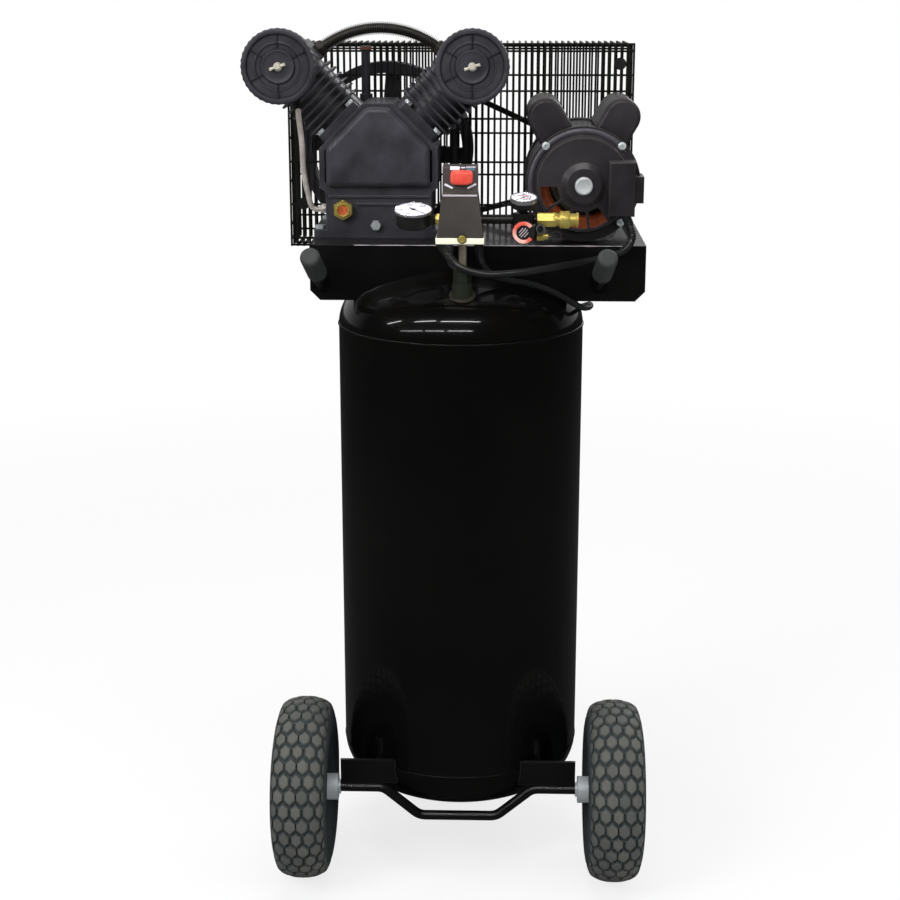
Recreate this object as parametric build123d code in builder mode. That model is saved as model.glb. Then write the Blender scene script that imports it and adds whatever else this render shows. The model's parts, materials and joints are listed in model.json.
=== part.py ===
from build123d import *
import os
from math import acos, atan2, cos, degrees, pi, radians, sin, sqrt, tan

# Belt-driven V-twin air compressor on an upright tank, in millimetres.
# While it is modelled, the origin is on the ground under the tank's axis, +X to the
# machine's right as seen from its wheel side, -Y towards that side and +Z up.

# ---------------------------------------------------------------- driving dimensions
# tank
tank_radius = 177.8
tank_wall = 3.0
tank_straight = 644.0
tank_seam_height = 161.0
head_knuckle = 61.5
head_crown = 321.5
weld_gap = 0.2

# wheels and axle
wheel_radius = 132.5
tyre_width = 82.0
track = 456.0
axle_inset = 27.8
axle_y = axle_inset - tank_radius
axle_radius = 7.15
axle_drop = 44.5
axle_drop_half = 57.0
axle_shoulder = 110.0
axle_bend_radius = 24.0
running_fit = 0.05
gusset_top = 177.0
gusset_wall = 5.0
hub_radius = 19.5
hub_inner_face = 176.5
collar_radius = 10.5
collar_width = 3.0
hub_outer_face = 262.0
bead_radius = 52.0
rim_wall = 2.5

# rear foot
foot_y = 145.0
foot_width = 180.0
foot_wall = 4.0
foot_flange = 34.0
pad_radius = 15.0
pad_height = 14.0

# platform
platform_top = tank_seam_height + tank_straight + 120.0
platform_left = -213.0
platform_right = 262.0
platform_front = -60.0
platform_back = 168.0
platform_wall = 3.0
lip_depth = 79.0
lip_chamfer = 14.0
back_flange_depth = 40.0
side_flange_depth = 26.0
saddle_y = 62.0

# handles
handle_x = 196.0
handle_root_z = platform_top - 55.0
handle_tip_x = 203.0
handle_tip_y = -150.0
handle_tip_z = platform_top - 2.5
handle_radius = 11.0
grip_radius = 14.0
grip_length = 62.0
grip_cap = 5.0

# pump
pump_x = -119.0
crank_z = platform_top + 108.0
case_front = 8.0
case_back = 140.0
case_half_width = 85.0
case_wall = 8.0
deck_height = 74.0
case_top = 84.0
case_waist = -36.0
sump_half_width = 76.0
base_height = 12.0
base_half_width = 95.0
cover_depth = 14.0
cylinder_bore_radius = 32.5
cylinder_wall = 7.5
spigot_wall = 4.0
cylinder_top = 162.0
cylinder_flange = 12.0
cylinder_flange_half = cylinder_bore_radius + 3.5
fin_half = 45.0
fin_pitch = 11.0
fin_thickness = 3.0
fin_count = 6
head_height = 46.0
left_cylinder_y = 68.0
right_cylinder_y = 88.0
crank_radius = 12.5
crank_throw = 24.0

# intake filters
filter_radius = 52.5
filter_axis_height = 191.0
filter_front = -40.0
filter_cover_depth = 14.0
filter_base_depth = 26.0
filter_neck_radius = 13.0

# drive
flywheel_radius = 133.0
flywheel_rim = 17.0
flywheel_half_width = 20.0
flywheel_hub_radius = 26.0
drive_y = 225.0
motor_pulley_radius = 35.0
belt_depth = 8.0
belt_top_half = 6.0
belt_bottom_half = 3.4
belt_inset = 1.5
belt_gap = 0.4
groove_floor = 2.5

# belt guard
guard_left = -267.0
guard_right = 256.0
guard_bottom = platform_top - 36.0
guard_top = platform_top + 270.0
guard_back = 282.5
wire = 3.0
upright_count = 56
row_pitch = 65.0
front_row_start = guard_bottom + 64.0
back_row_start = guard_bottom + 34.0
edge_row_step = 12.0

# motor
motor_x = 173.0
motor_z = platform_top + 82.5
motor_radius = 78.5
bell_radius = motor_radius + 2.5
motor_front = -50.0
shell_front = -8.0
shell_back = 118.0
motor_back = 160.0
bell_wall = 4.0
bore_radius = 45.0
rotor_gap = 0.6
shaft_radius = 8.0
shaft_cap_radius = 12.0

# pneumatics
riser_x = 5.0
riser_y = -130.0
riser_radius = 5.5
switch_base_z = platform_top + 19.0
switch_half_width = 33.0
switch_shoulder_half = 24.0
switch_shoulder_z = platform_top + 83.0
switch_top_z = platform_top + 118.0
switch_front = -156.0
switch_back = -98.0
port_z = platform_top + 46.0
port_radius = 7.0
regulator_x = 88.0
gauge_tilt = 76.0

# cords
lead_radius = 5.0
supply_radius = 4.5
gap = 0.3

half_track = track / 2
tank_top_seam = tank_seam_height + tank_straight
platform_under = platform_top - platform_wall
pieces = {}


def front_plane(x, y, z):
    """A plane facing the machine's front: its own x is +X and its own y is +Z."""
    return Plane((x, y, z), x_dir=(1, 0, 0), z_dir=(0, -1, 0))


def side_plane(x, y, z):
    """A plane facing +X: its own x is +Y and its own y is +Z."""
    return Plane((x, y, z), x_dir=(0, 1, 0), z_dir=(1, 0, 0))


def level(z):
    return Plane.XY.offset(z)


def outline(points):
    """A closed outline through the points, as a face of the sketch in hand."""
    Polygon(*points, align=None)


def together(*builders):
    """One piece of the builders' solids, each solid still separate."""
    return Compound([solid for builder in builders for solid in builder.part.solids()])


def rounded_path(points, limit):
    """Straight runs with tangent arcs, each as large as its two runs allow, up to the limit."""
    points = [Vector(*point) for point in points]
    radii = []
    for before, here, after in zip(points, points[1:], points[2:]):
        run = min((here - before).length, (after - here).length)
        turn = radians((here - before).get_angle(after - here))
        radii.append(min(0.45 * run / tan(turn / 2), limit))
    with BuildLine() as path:
        FilletPolyline(points, radius=radii)
    return path, radii


# ---------------------------------------------------------------- tank
with BuildPart() as tank_shell:
    with BuildSketch(level(tank_seam_height)):
        Circle(tank_radius)
        Circle(tank_radius - tank_wall, mode=Mode.SUBTRACT)
    extrude(amount=tank_straight)
pieces["tank_shell"] = tank_shell.part

# each head is dished: a crown and a knuckle, in arcs that are tangent at the joint
knuckle_centre = tank_radius - head_knuckle
crown_drop = sqrt((head_crown - head_knuckle) ** 2 - knuckle_centre**2)
crown_centre = tank_top_seam - crown_drop
joint_angle = degrees(atan2(crown_drop, knuckle_centre))
head_depth = head_crown - crown_drop
tank_middle = level(tank_seam_height + tank_straight / 2)
with BuildPart() as upper_head:
    with BuildSketch(Plane.XZ):
        with BuildLine():
            knuckle = CenterArc((knuckle_centre, tank_top_seam), head_knuckle, 0, joint_angle)
            crown = CenterArc((0, crown_centre), head_crown, joint_angle, 90 - joint_angle)
            inner_knuckle = CenterArc(
                (knuckle_centre, tank_top_seam), head_knuckle - tank_wall, 0, joint_angle
            )
            inner_crown = CenterArc(
                (0, crown_centre), head_crown - tank_wall, joint_angle, 90 - joint_angle
            )
            Line(knuckle @ 0, inner_knuckle @ 0)
            Line(crown @ 1, inner_crown @ 1)
        make_face()
    revolve(axis=Axis.Z)
with BuildPart() as tank_heads:
    add(upper_head.part)
    mirror(upper_head.part, about=tank_middle)
pieces["tank_heads"] = tank_heads.part


def tank_form(extra):
    """The tank's outside, grown by extra, to cut what is welded to it."""
    with BuildPart() as form:
        with BuildSketch(Plane.XZ):
            with BuildLine():
                outer_knuckle = CenterArc(
                    (knuckle_centre, tank_top_seam), head_knuckle + extra, 0, joint_angle
                )
                outer_crown = CenterArc(
                    (0, crown_centre), head_crown + extra, joint_angle, 90 - joint_angle
                )
                Polyline(
                    outer_crown @ 1,
                    (0, tank_middle.origin.Z),
                    (tank_radius + extra, tank_middle.origin.Z),
                    outer_knuckle @ 0,
                )
            make_face()
        revolve(axis=Axis.Z)
        mirror(about=tank_middle)
    return form.part


tank_cut = tank_form(weld_gap)

# ---------------------------------------------------------------- undercarriage
axle_end = hub_outer_face + 13.0
axle_low = wheel_radius - axle_drop
with BuildPart() as axle_rod:
    with BuildLine(front_plane(0, axle_y, 0)) as rod_line:
        FilletPolyline(
            (-axle_end, wheel_radius),
            (-axle_shoulder, wheel_radius),
            (-axle_drop_half, axle_low),
            (axle_drop_half, axle_low),
            (axle_shoulder, wheel_radius),
            (axle_end, wheel_radius),
            radius=axle_bend_radius,
        )
    with BuildSketch(side_plane(-axle_end, axle_y, wheel_radius)):
        Circle(axle_radius)
    sweep(path=rod_line.line)
pieces["axle_rod"] = axle_rod.part

gusset_foot = wheel_radius + axle_radius + 0.1
gusset_reach = hub_inner_face - collar_width - 2 * gap
with BuildPart() as axle_gussets:
    with BuildSketch(front_plane(0, axle_y - gusset_wall / 2, 0)):
        for side in (-1, 1):
            outline(
                [
                    (side * gusset_reach, gusset_foot),
                    (side * gusset_reach, gusset_top),
                    (side * tank_radius / 2, gusset_top),
                    (side * tank_radius / 2, gusset_foot),
                ]
            )
    extrude(amount=-gusset_wall)
    add(tank_cut, mode=Mode.SUBTRACT)
pieces["axle_gussets"] = axle_gussets.part

with BuildPart() as wheel_retainers:
    for side in (-1, 1):
        for start in (hub_inner_face - gap - collar_width, hub_outer_face + gap):
            with BuildSketch(side_plane(side * start, axle_y, wheel_radius)):
                Circle(collar_radius)
                Circle(axle_radius + running_fit, mode=Mode.SUBTRACT)
            extrude(amount=side * collar_width)
pieces["wheel_retainers"] = wheel_retainers.part

# rear foot: an upright plate welded to the lower head, with a flange for two rubber pads
with BuildPart() as rear_foot:
    with BuildSketch(front_plane(0, foot_y - foot_wall / 2, 0)):
        outline(
            [
                (-foot_width / 2, pad_height),
                (foot_width / 2, pad_height),
                (foot_width / 2, tank_seam_height / 2),
                (foot_width / 2 - 30, tank_seam_height),
                (30 - foot_width / 2, tank_seam_height),
                (-foot_width / 2, tank_seam_height / 2),
            ]
        )
    extrude(amount=-foot_wall)
    with BuildSketch(level(pad_height)):
        with Locations((0, foot_y)):
            Rectangle(foot_width, foot_flange)
    extrude(amount=foot_wall)
    add(tank_cut, mode=Mode.SUBTRACT)
pieces["rear_foot"] = rear_foot.part

pad_x = foot_width / 2 - pad_radius - 3
with BuildPart() as rubber_feet:
    with BuildSketch(level(0)):
        with Locations((-pad_x, foot_y), (pad_x, foot_y)):
            Circle(pad_radius)
    extrude(amount=pad_height)
    chamfer(rubber_feet.edges().group_by(Axis.Z)[0], 2)
pieces["rubber_feet"] = rubber_feet.part

# ---------------------------------------------------------------- wheels
crown_half = 31.0
shoulder_radius = wheel_radius - 8.5
bulge_radius = 92.0
bead_half = 27.0
bead_thickness = 8.0
liner = 8.0
with BuildPart() as right_tyre:
    with BuildSketch(level(wheel_radius)):
        with BuildLine(Plane((half_track, axle_y, wheel_radius))):
            # outside: sidewall, crown and sidewall
            RadiusArc((bead_half, bead_radius), (tyre_width / 2, bulge_radius), 60)
            RadiusArc((tyre_width / 2, bulge_radius), (crown_half, shoulder_radius), 45)
            ThreePointArc((crown_half, shoulder_radius), (0, wheel_radius), (-crown_half, shoulder_radius))
            RadiusArc((-crown_half, shoulder_radius), (-tyre_width / 2, bulge_radius), 45)
            RadiusArc((-tyre_width / 2, bulge_radius), (-bead_half, bead_radius), 60)
            # inside: the air space, open between the two beads
            Line((-bead_half, bead_radius), (bead_thickness - bead_half, bead_radius))
            inner_half = tyre_width / 2 - liner
            RadiusArc((bead_thickness - bead_half, bead_radius), (-inner_half, bulge_radius), -60)
            ThreePointArc((-inner_half, bulge_radius), (0, wheel_radius - liner), (inner_half, bulge_radius))
            RadiusArc((inner_half, bulge_radius), (bead_half - bead_thickness, bead_radius), -60)
            Line((bead_half - bead_thickness, bead_radius), (bead_half, bead_radius))
        make_face()
    revolve(axis=Axis((0, axle_y, wheel_radius), (1, 0, 0)))

# the steel rim: two pressed halves on a hub sleeve, with flanges outside the tyre's beads
seat_radius = bead_radius - 0.3
flange_radius = bead_radius + 6
flange_half = bead_half + 3.5
well_half = bead_half - bead_thickness - 4
well_radius = seat_radius - 14
hub_inner = hub_inner_face - half_track
hub_outer = hub_outer_face - half_track
web_half = 3.0
with BuildPart() as right_rim:
    with BuildSketch(level(wheel_radius)):
        with Locations((half_track, axle_y)):
            with Locations(((hub_inner + hub_outer) / 2, (hub_radius + axle_radius + running_fit) / 2)):
                Rectangle(hub_outer - hub_inner, hub_radius - axle_radius - running_fit)
            with Locations((0, (hub_radius + well_radius) / 2)):
                Rectangle(2 * web_half, well_radius - hub_radius + 2)
            outline(
                [
                    (-flange_half, flange_radius),
                    (-flange_half, seat_radius - rim_wall),
                    (-well_half - rim_wall, seat_radius - rim_wall),
                    (-well_half - rim_wall, well_radius - rim_wall),
                    (well_half + rim_wall, well_radius - rim_wall),
                    (well_half + rim_wall, seat_radius - rim_wall),
                    (flange_half, seat_radius - rim_wall),
                    (flange_half, flange_radius),
                    (flange_half - rim_wall, flange_radius),
                    (flange_half - rim_wall, seat_radius),
                    (well_half, seat_radius),
                    (well_half, well_radius),
                    (-well_half, well_radius),
                    (-well_half, seat_radius),
                    (rim_wall - flange_half, seat_radius),
                    (rim_wall - flange_half, flange_radius),
                ]
            )
    revolve(axis=Axis((0, axle_y, wheel_radius), (1, 0, 0)))
    with BuildSketch(side_plane(half_track, axle_y, wheel_radius)):
        with PolarLocations((hub_radius + well_radius) / 2, 4, start_angle=45):
            Circle(4)
    extrude(amount=2 * web_half, both=True, mode=Mode.SUBTRACT)

for name, right in (("tyre", right_tyre), ("rim", right_rim)):
    with BuildPart() as left:
        mirror(right.part, about=Plane.YZ)
    pieces["right_" + name] = right.part
    pieces["left_" + name] = left.part

# ---------------------------------------------------------------- platform and handles
lip_bottom = platform_top - lip_depth
platform_width = platform_right - platform_left
platform_middle = (platform_left + platform_right) / 2
platform_length = platform_back - platform_front


def saddle_outline(drop):
    """A flange hanging from the platform's top, its lower corners cut off."""
    bottom = platform_top - drop
    outline(
        [
            (platform_left, platform_top),
            (platform_left, bottom + lip_chamfer),
            (platform_left + lip_chamfer, bottom),
            (platform_right - lip_chamfer, bottom),
            (platform_right, bottom + lip_chamfer),
            (platform_right, platform_top),
        ]
    )


with BuildPart() as platform_tray:
    with BuildSketch(level(platform_under)):
        with Locations((platform_middle, platform_front + platform_length / 2)):
            Rectangle(platform_width, platform_length)
    extrude(amount=platform_wall)
    with BuildSketch(front_plane(0, platform_front, 0)):
        saddle_outline(lip_depth)
    extrude(amount=-platform_wall)
    with BuildSketch(front_plane(0, saddle_y, 0)):
        saddle_outline(lip_depth)
        with Locations((platform_middle, platform_top)):
            Rectangle(platform_width - 60, 4 * lip_depth, mode=Mode.INTERSECT)
    extrude(amount=-platform_wall)
    with BuildSketch(front_plane(0, platform_back - platform_wall, 0)):
        saddle_outline(back_flange_depth)
    extrude(amount=-platform_wall)
    for edge in (platform_left, platform_right - platform_wall):
        with BuildSketch(side_plane(edge, 0, 0)):
            with Locations((platform_front, platform_top)):
                Rectangle(platform_length, side_flange_depth, align=(Align.MIN, Align.MAX))
        extrude(amount=platform_wall)
    add(tank_cut, mode=Mode.SUBTRACT)
pieces["platform_tray"] = platform_tray.part

# each handle bar leaves the lip's face towards the front and a little upwards
handle_tip = Vector(handle_tip_x, handle_tip_y, handle_tip_z)
handle_root = Vector(handle_x, platform_front, handle_root_z)
handle_run = handle_tip - handle_root
handle_plane = Plane(handle_tip, x_dir=(1, 0, 0), z_dir=handle_run)
with BuildPart() as right_bar:
    with BuildSketch(handle_plane.offset(-grip_cap - gap)):
        Circle(handle_radius)
    extrude(amount=-handle_run.length - 3 * handle_radius)
    split(bisect_by=Plane.XZ.offset(-platform_front), keep=Keep.TOP)
with BuildPart() as handle_bars:
    add(right_bar.part)
    mirror(right_bar.part, about=Plane.YZ)
pieces["handle_bars"] = handle_bars.part

with BuildPart() as right_grip:
    with BuildSketch(handle_plane):
        Circle(grip_radius)
    extrude(amount=-grip_length)
    fillet(right_grip.faces().sort_by(Axis(handle_tip, handle_run))[-1].edges(), 5)
    with BuildSketch(handle_plane.offset(-grip_cap)):
        Circle(handle_radius + running_fit)
    extrude(amount=-grip_length, mode=Mode.SUBTRACT)
with BuildPart() as handle_grips:
    add(right_grip.part)
    mirror(right_grip.part, about=Plane.YZ)
pieces["handle_grips"] = handle_grips.part

# ---------------------------------------------------------------- pump
# Points of the pump's end outline are counted from the crankshaft's axis.
deck = deck_height * sqrt(2)
case_outline = [
    (case_half_width, case_waist),
    (case_half_width, deck - case_half_width),
    (deck - case_top, case_top),
    (case_top - deck, case_top),
    (-case_half_width, deck - case_half_width),
    (-case_half_width, case_waist),
    (-sump_half_width, case_waist - 6),
    (-sump_half_width, platform_top + base_height - crank_z),
    (sump_half_width, platform_top + base_height - crank_z),
    (sump_half_width, case_waist - 6),
]
crank_line = Axis((pump_x, 0, crank_z), (0, 1, 0))
sump_floor = platform_top + base_height + case_wall - crank_z
inner_half = case_half_width - case_wall
inner_deck = deck - case_wall * sqrt(2)
inner_sump = sump_half_width - case_wall
cavity_outline = [
    (inner_half, case_waist),
    (inner_half, inner_deck - inner_half),
    (inner_deck - case_top + case_wall, case_top - case_wall),
    (case_top - case_wall - inner_deck, case_top - case_wall),
    (-inner_half, inner_deck - inner_half),
    (-inner_half, case_waist),
    (-inner_sump, case_waist - 6),
    (-inner_sump, sump_floor),
    (inner_sump, sump_floor),
    (inner_sump, case_waist - 6),
]
cylinder_sides = {"left": (-1, left_cylinder_y), "right": (1, right_cylinder_y)}
cylinder_planes = {
    name: Plane(
        (pump_x, y, crank_z), x_dir=(0, 1, 0), z_dir=(side, 0, 1)
    )
    for name, (side, y) in cylinder_sides.items()
}
spigot_radius = cylinder_bore_radius + spigot_wall
breather_x = -25.0
breather_y = 127.0
breather_top = 153.0
breather_radius = 6.5
boss_radius = 9.5
boss_top = 90.0
bearing_housing_radius = 34.0
bearing_radius = 26.0
bearing_width = 14.0
bearing_housing_back = 160.0
foot_bolt_x = base_half_width - 9
foot_bolt_ys = (case_front + 14, case_back - 14)

with BuildPart() as crankcase:
    with BuildSketch(front_plane(pump_x, case_front, crank_z)):
        outline(case_outline)
    extrude(amount=case_front - case_back)
    with BuildSketch(level(platform_top)):
        with Locations((pump_x, (case_front + case_back) / 2)):
            RectangleRounded(2 * base_half_width, case_back - case_front, 8)
    extrude(amount=base_height)
    with BuildSketch(front_plane(pump_x, case_back, crank_z)):
        Circle(bearing_housing_radius)
    extrude(amount=case_back - bearing_housing_back)
    with BuildSketch(level(crank_z + case_top - 20)):
        with Locations((pump_x + breather_x, breather_y)):
            Circle(boss_radius)
    extrude(amount=boss_top - case_top + 20)
    with BuildSketch(front_plane(pump_x, case_front + case_wall, crank_z)):
        outline(cavity_outline)
    extrude(amount=case_front + 2 * case_wall - case_back, mode=Mode.SUBTRACT)
    # the front is open behind the cover only
    with BuildSketch(front_plane(pump_x, case_front, crank_z)):
        outline(cavity_outline)
        with Locations((0, case_waist + case_wall)):
            opening_size = (2 * case_half_width, 2 * case_top)
            Rectangle(*opening_size, align=(Align.CENTER, Align.MIN), mode=Mode.INTERSECT)
    extrude(amount=-2 * case_wall, mode=Mode.SUBTRACT)
    for plane in cylinder_planes.values():
        with BuildSketch(plane.offset(deck_height - 2 * case_wall)):
            Circle(spigot_radius + gap)
        extrude(amount=3 * case_wall, mode=Mode.SUBTRACT)
    with BuildSketch(front_plane(pump_x, case_back - 2 * case_wall, crank_z)):
        Circle(bearing_radius)
    extrude(amount=-4 * case_wall - bearing_housing_back, mode=Mode.SUBTRACT)
    # two ribs run across the sump's front; the lower one stops beside the sight glass
    rib_end = sump_half_width - 4
    for rib_z, rib_start in ((case_waist - 12, -rib_end), (case_waist - 23, rib_end - 104)):
        with BuildSketch(front_plane(pump_x, case_front, crank_z)):
            with Locations((rib_start, rib_z)):
                Rectangle(rib_end - rib_start, 3, align=(Align.MIN, Align.CENTER))
        extrude(amount=3)
pieces["crankcase"] = crankcase.part

cover_half = case_half_width - 9
cover_top = case_top - 3
cover_deck = deck - 7
cover_outline = [
    (cover_half, case_waist + 1),
    (cover_half, cover_deck - cover_half),
    (cover_deck - cover_top, cover_top),
    (cover_top - cover_deck, cover_top),
    (-cover_half, cover_deck - cover_half),
    (-cover_half, case_waist + 1),
]
with BuildPart() as crankcase_cover:
    with BuildSketch(front_plane(pump_x, case_front, crank_z)):
        outline(cover_outline)
    extrude(amount=cover_depth, taper=12)
pieces["crankcase_cover"] = crankcase_cover.part

# ball bearings, as plain rings: two carry the crankshaft and two the motor's shaft
motor_line = Axis((motor_x, 0, motor_z), (0, 1, 0))
motor_bearing_radius = 17.5
motor_bearing_width = 10.0
motor_bearing_ys = (motor_front + bell_wall + 1, motor_back - bell_wall - motor_bearing_width - 1)
crank_bearing_y = case_back - case_wall + 4
with BuildPart() as bearings:
    with BuildSketch(front_plane(pump_x, crank_bearing_y, crank_z)):
        Circle(bearing_radius)
        Circle(crank_radius + running_fit, mode=Mode.SUBTRACT)
    extrude(amount=-bearing_width)
    for bearing_y in motor_bearing_ys:
        with BuildSketch(front_plane(motor_x, bearing_y, motor_z)):
            Circle(motor_bearing_radius)
            Circle(shaft_radius + running_fit, mode=Mode.SUBTRACT)
        extrude(amount=-motor_bearing_width)
pieces["bearings"] = bearings.part

# the overhung crankshaft: a counterweight disc, a crank pin for both rods and one long journal
web_width = 14.0
web_back = case_back - case_wall - 1
web_front = web_back - web_width
pin_front = left_cylinder_y - 22
flywheel_front = drive_y - flywheel_half_width
crank_end = drive_y + flywheel_half_width + 7
with BuildPart() as crankshaft:
    with BuildSketch(front_plane(pump_x, web_front, crank_z)):
        Circle(crank_throw + 12)
    extrude(amount=-web_width)
    with BuildSketch(front_plane(pump_x, web_back, crank_z)):
        Circle(crank_radius)
    extrude(amount=web_back - crank_end)
    with BuildSketch(front_plane(pump_x, pin_front, crank_z)):
        with Locations((0, -crank_throw)):
            Circle(9)
    extrude(amount=pin_front - web_front)
pieces["crankshaft"] = crankshaft.part

# the cylinders stand at right angles to each other on the crankcase's two decks
flange_half_y = cylinder_bore_radius + 17.5
fin_start = deck_height + cylinder_flange + 8
with BuildPart() as cylinders:
    for plane in cylinder_planes.values():
        with BuildSketch(plane.offset(deck_height)):
            RectangleRounded(2 * flange_half_y, 2 * cylinder_flange_half, 6)
        extrude(amount=cylinder_flange)
        with BuildSketch(plane.offset(deck_height)):
            Circle(cylinder_bore_radius + cylinder_wall)
        extrude(amount=cylinder_top - deck_height)
        for index in range(fin_count):
            with BuildSketch(plane.offset(fin_start + index * fin_pitch)):
                RectangleRounded(2 * fin_half, 2 * fin_half, 12)
            extrude(amount=fin_thickness)
        with BuildSketch(plane.offset(deck_height - case_wall)):
            Circle(spigot_radius)
        extrude(amount=case_wall)
        with BuildSketch(plane.offset(deck_height - case_wall)):
            Circle(cylinder_bore_radius)
        extrude(amount=cylinder_top, mode=Mode.SUBTRACT)
pieces["cylinders"] = cylinders.part

piston_height = 30.0
piston_top = cylinder_top - 6
with BuildPart() as pistons:
    for plane in cylinder_planes.values():
        with BuildSketch(plane.offset(piston_top - piston_height)):
            Circle(cylinder_bore_radius - running_fit)
        extrude(amount=piston_height)
        with BuildSketch(plane.offset(piston_top - piston_height)):
            Circle(cylinder_bore_radius - 5)
        extrude(amount=piston_height - 7, mode=Mode.SUBTRACT)
pieces["pistons"] = pistons.part

# each head is a plate with the reed valves under it, a chest and cooling fins across its top
plate_thickness = 6.0
chest_height = head_height - plate_thickness - 12
head_fin_count = 7
with BuildPart() as valve_plates:
    for plane in cylinder_planes.values():
        with BuildSketch(plane.offset(cylinder_top)):
            RectangleRounded(2 * fin_half, 2 * fin_half, 8)
            with Locations((-14, 0), (14, 0)):
                Circle(5, mode=Mode.SUBTRACT)
        extrude(amount=plate_thickness)
pieces["valve_plates"] = valve_plates.part

with BuildPart() as cylinder_heads:
    for plane in cylinder_planes.values():
        with BuildSketch(plane.offset(cylinder_top + plate_thickness)):
            RectangleRounded(2 * fin_half, 2 * fin_half, 8)
        extrude(amount=chest_height)
        with BuildSketch(plane.offset(cylinder_top + plate_thickness + chest_height)):
            with GridLocations(2 * (fin_half - 3) / (head_fin_count - 1), 0, head_fin_count, 1):
                Rectangle(3, 2 * fin_half - 12)
        extrude(amount=12)
        with BuildSketch(plane.offset(cylinder_top + plate_thickness)):
            RectangleRounded(2 * fin_half - 20, 2 * fin_half - 20, 6)
        extrude(amount=chest_height - 8, mode=Mode.SUBTRACT)
pieces["cylinder_heads"] = cylinder_heads.part

# ---------------------------------------------------------------- intake filters
filter_centres = {
    name: (
        pump_x + side * filter_axis_height * cos(pi / 4),
        crank_z + filter_axis_height * sin(pi / 4),
        y - fin_half,
    )
    for name, (side, y) in cylinder_sides.items()
}
base_front = filter_front + filter_cover_depth
base_back = base_front + filter_base_depth
filter_wall = 2.5
rim_band = 7.0
hub_disc = 21.0
stud_radius = 3.0
with BuildPart() as filter_bases:
    for x, z, head_face in filter_centres.values():
        with BuildSketch(front_plane(x, base_front, z)):
            Circle(filter_radius - 1.5)
        extrude(amount=-filter_base_depth)
        with BuildSketch(front_plane(x, base_front, z)):
            Circle(filter_radius - 1.5 - filter_wall)
        extrude(amount=filter_wall - filter_base_depth, mode=Mode.SUBTRACT)
        with BuildSketch(front_plane(x, base_back, z)):
            Circle(filter_neck_radius)
        extrude(amount=base_back - head_face)
        with BuildSketch(front_plane(x, base_back - filter_wall, z)):
            Circle(filter_neck_radius - 3)
        extrude(amount=base_back - filter_wall - head_face, mode=Mode.SUBTRACT)
        with BuildSketch(front_plane(x, head_face, z)):
            Circle(stud_radius)
        extrude(amount=head_face - filter_front + 7)
pieces["filter_bases"] = filter_bases.part

recess = 3.0
cover_rib = 2.4
rib_angles = (90, 30, 150)
with BuildPart() as filter_covers:
    for x, z, head_face in filter_centres.values():
        with BuildSketch(front_plane(x, base_front - 0.1, z)):
            Circle(filter_radius)
        extrude(amount=filter_cover_depth - 0.1)
        with BuildSketch(front_plane(x, filter_front + recess, z)):
            Circle(filter_radius - rim_band)
            Circle(hub_disc, mode=Mode.SUBTRACT)
            for angle in rib_angles:
                Rectangle(2 * filter_radius, cover_rib, rotation=angle, mode=Mode.SUBTRACT)
        extrude(amount=recess, mode=Mode.SUBTRACT)
        with BuildSketch(front_plane(x, base_front, z)):
            Circle(filter_radius - rim_band)
        extrude(amount=filter_cover_depth - recess - 3, mode=Mode.SUBTRACT)
        with BuildSketch(front_plane(x, base_front, z)):
            Circle(stud_radius + gap)
        extrude(amount=filter_cover_depth, mode=Mode.SUBTRACT)

with BuildPart() as wing_nuts:
    for x, z, head_face in filter_centres.values():
        with BuildSketch(front_plane(x, filter_front, z)):
            Circle(5)
            SlotOverall(19, 5, rotation=20)
            Circle(stud_radius + running_fit, mode=Mode.SUBTRACT)
        extrude(amount=5)
pieces["filter_covers"] = together(filter_covers, wing_nuts)

# ---------------------------------------------------------------- pump tubes and fittings
# the crossover tube arches from one head's inner side to the other's
crossover_radius = 9.0
crossover_nut = 12.0
crossover_nut_length = 12.0
crossover_rise = 22.0
crossover_y = (left_cylinder_y + right_cylinder_y) / 2
crossover_height = 185.0
with BuildPart() as crossover_tube:
    ends = []
    for side in (-1, 1):
        root = Vector(
            pump_x + side * crossover_height * cos(pi / 4),
            crossover_y,
            crank_z + crossover_height * sin(pi / 4),
        )
        away = Vector(-side, 0, 1).normalized()
        with BuildSketch(Plane(root + away * fin_half, z_dir=away)):
            RegularPolygon(crossover_nut, 6)
        extrude(amount=crossover_nut_length)
        ends.append(root + away * (fin_half + crossover_nut_length - 4))
    middle = (ends[0] + ends[1]) * 0.5 + Vector(0, 0, crossover_rise)
    with BuildLine() as arch:
        ThreePointArc(ends[0], middle, ends[1])
    with BuildSketch(Plane(ends[0], z_dir=arch.line % 0)):
        Circle(crossover_radius)
    sweep(path=arch.line)

# the vent tube leaves the left filter's back, runs down beside the pump and into the sump
vent_radius = 4.0
vent_x, vent_z, _ = filter_centres["left"]
with BuildPart() as vent_tube:
    with BuildLine() as vent_line:
        FilletPolyline(
            (vent_x + 18, base_back, vent_z - 36),
            (vent_x + 18, base_back + 12, vent_z - 36),
            (vent_x + 20, 14, vent_z - 66),
            (vent_x + 26, 18, crank_z - 12),
            (vent_x + 36, 22, crank_z - 67),
            (pump_x - sump_half_width - 0.1, 22, crank_z - 67),
            radius=[4, 6, 60, 18],
        )
    with BuildSketch(Plane(vent_line.line @ 0, z_dir=vent_line.line % 0)):
        Circle(vent_radius)
    sweep(path=vent_line.line)
pieces["pump_tubes"] = together(crossover_tube, vent_tube)

with BuildPart() as breather_tube:
    with BuildSketch(level(crank_z + boss_top)):
        with Locations((pump_x + breather_x, breather_y)):
            Circle(breather_radius)
    extrude(amount=breather_top - boss_top)
    with BuildSketch(level(crank_z + breather_top)):
        with Locations((pump_x + breather_x, breather_y)):
            Circle(breather_radius + 2)
    extrude(amount=6)
pieces["breather_tube"] = breather_tube.part

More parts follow.
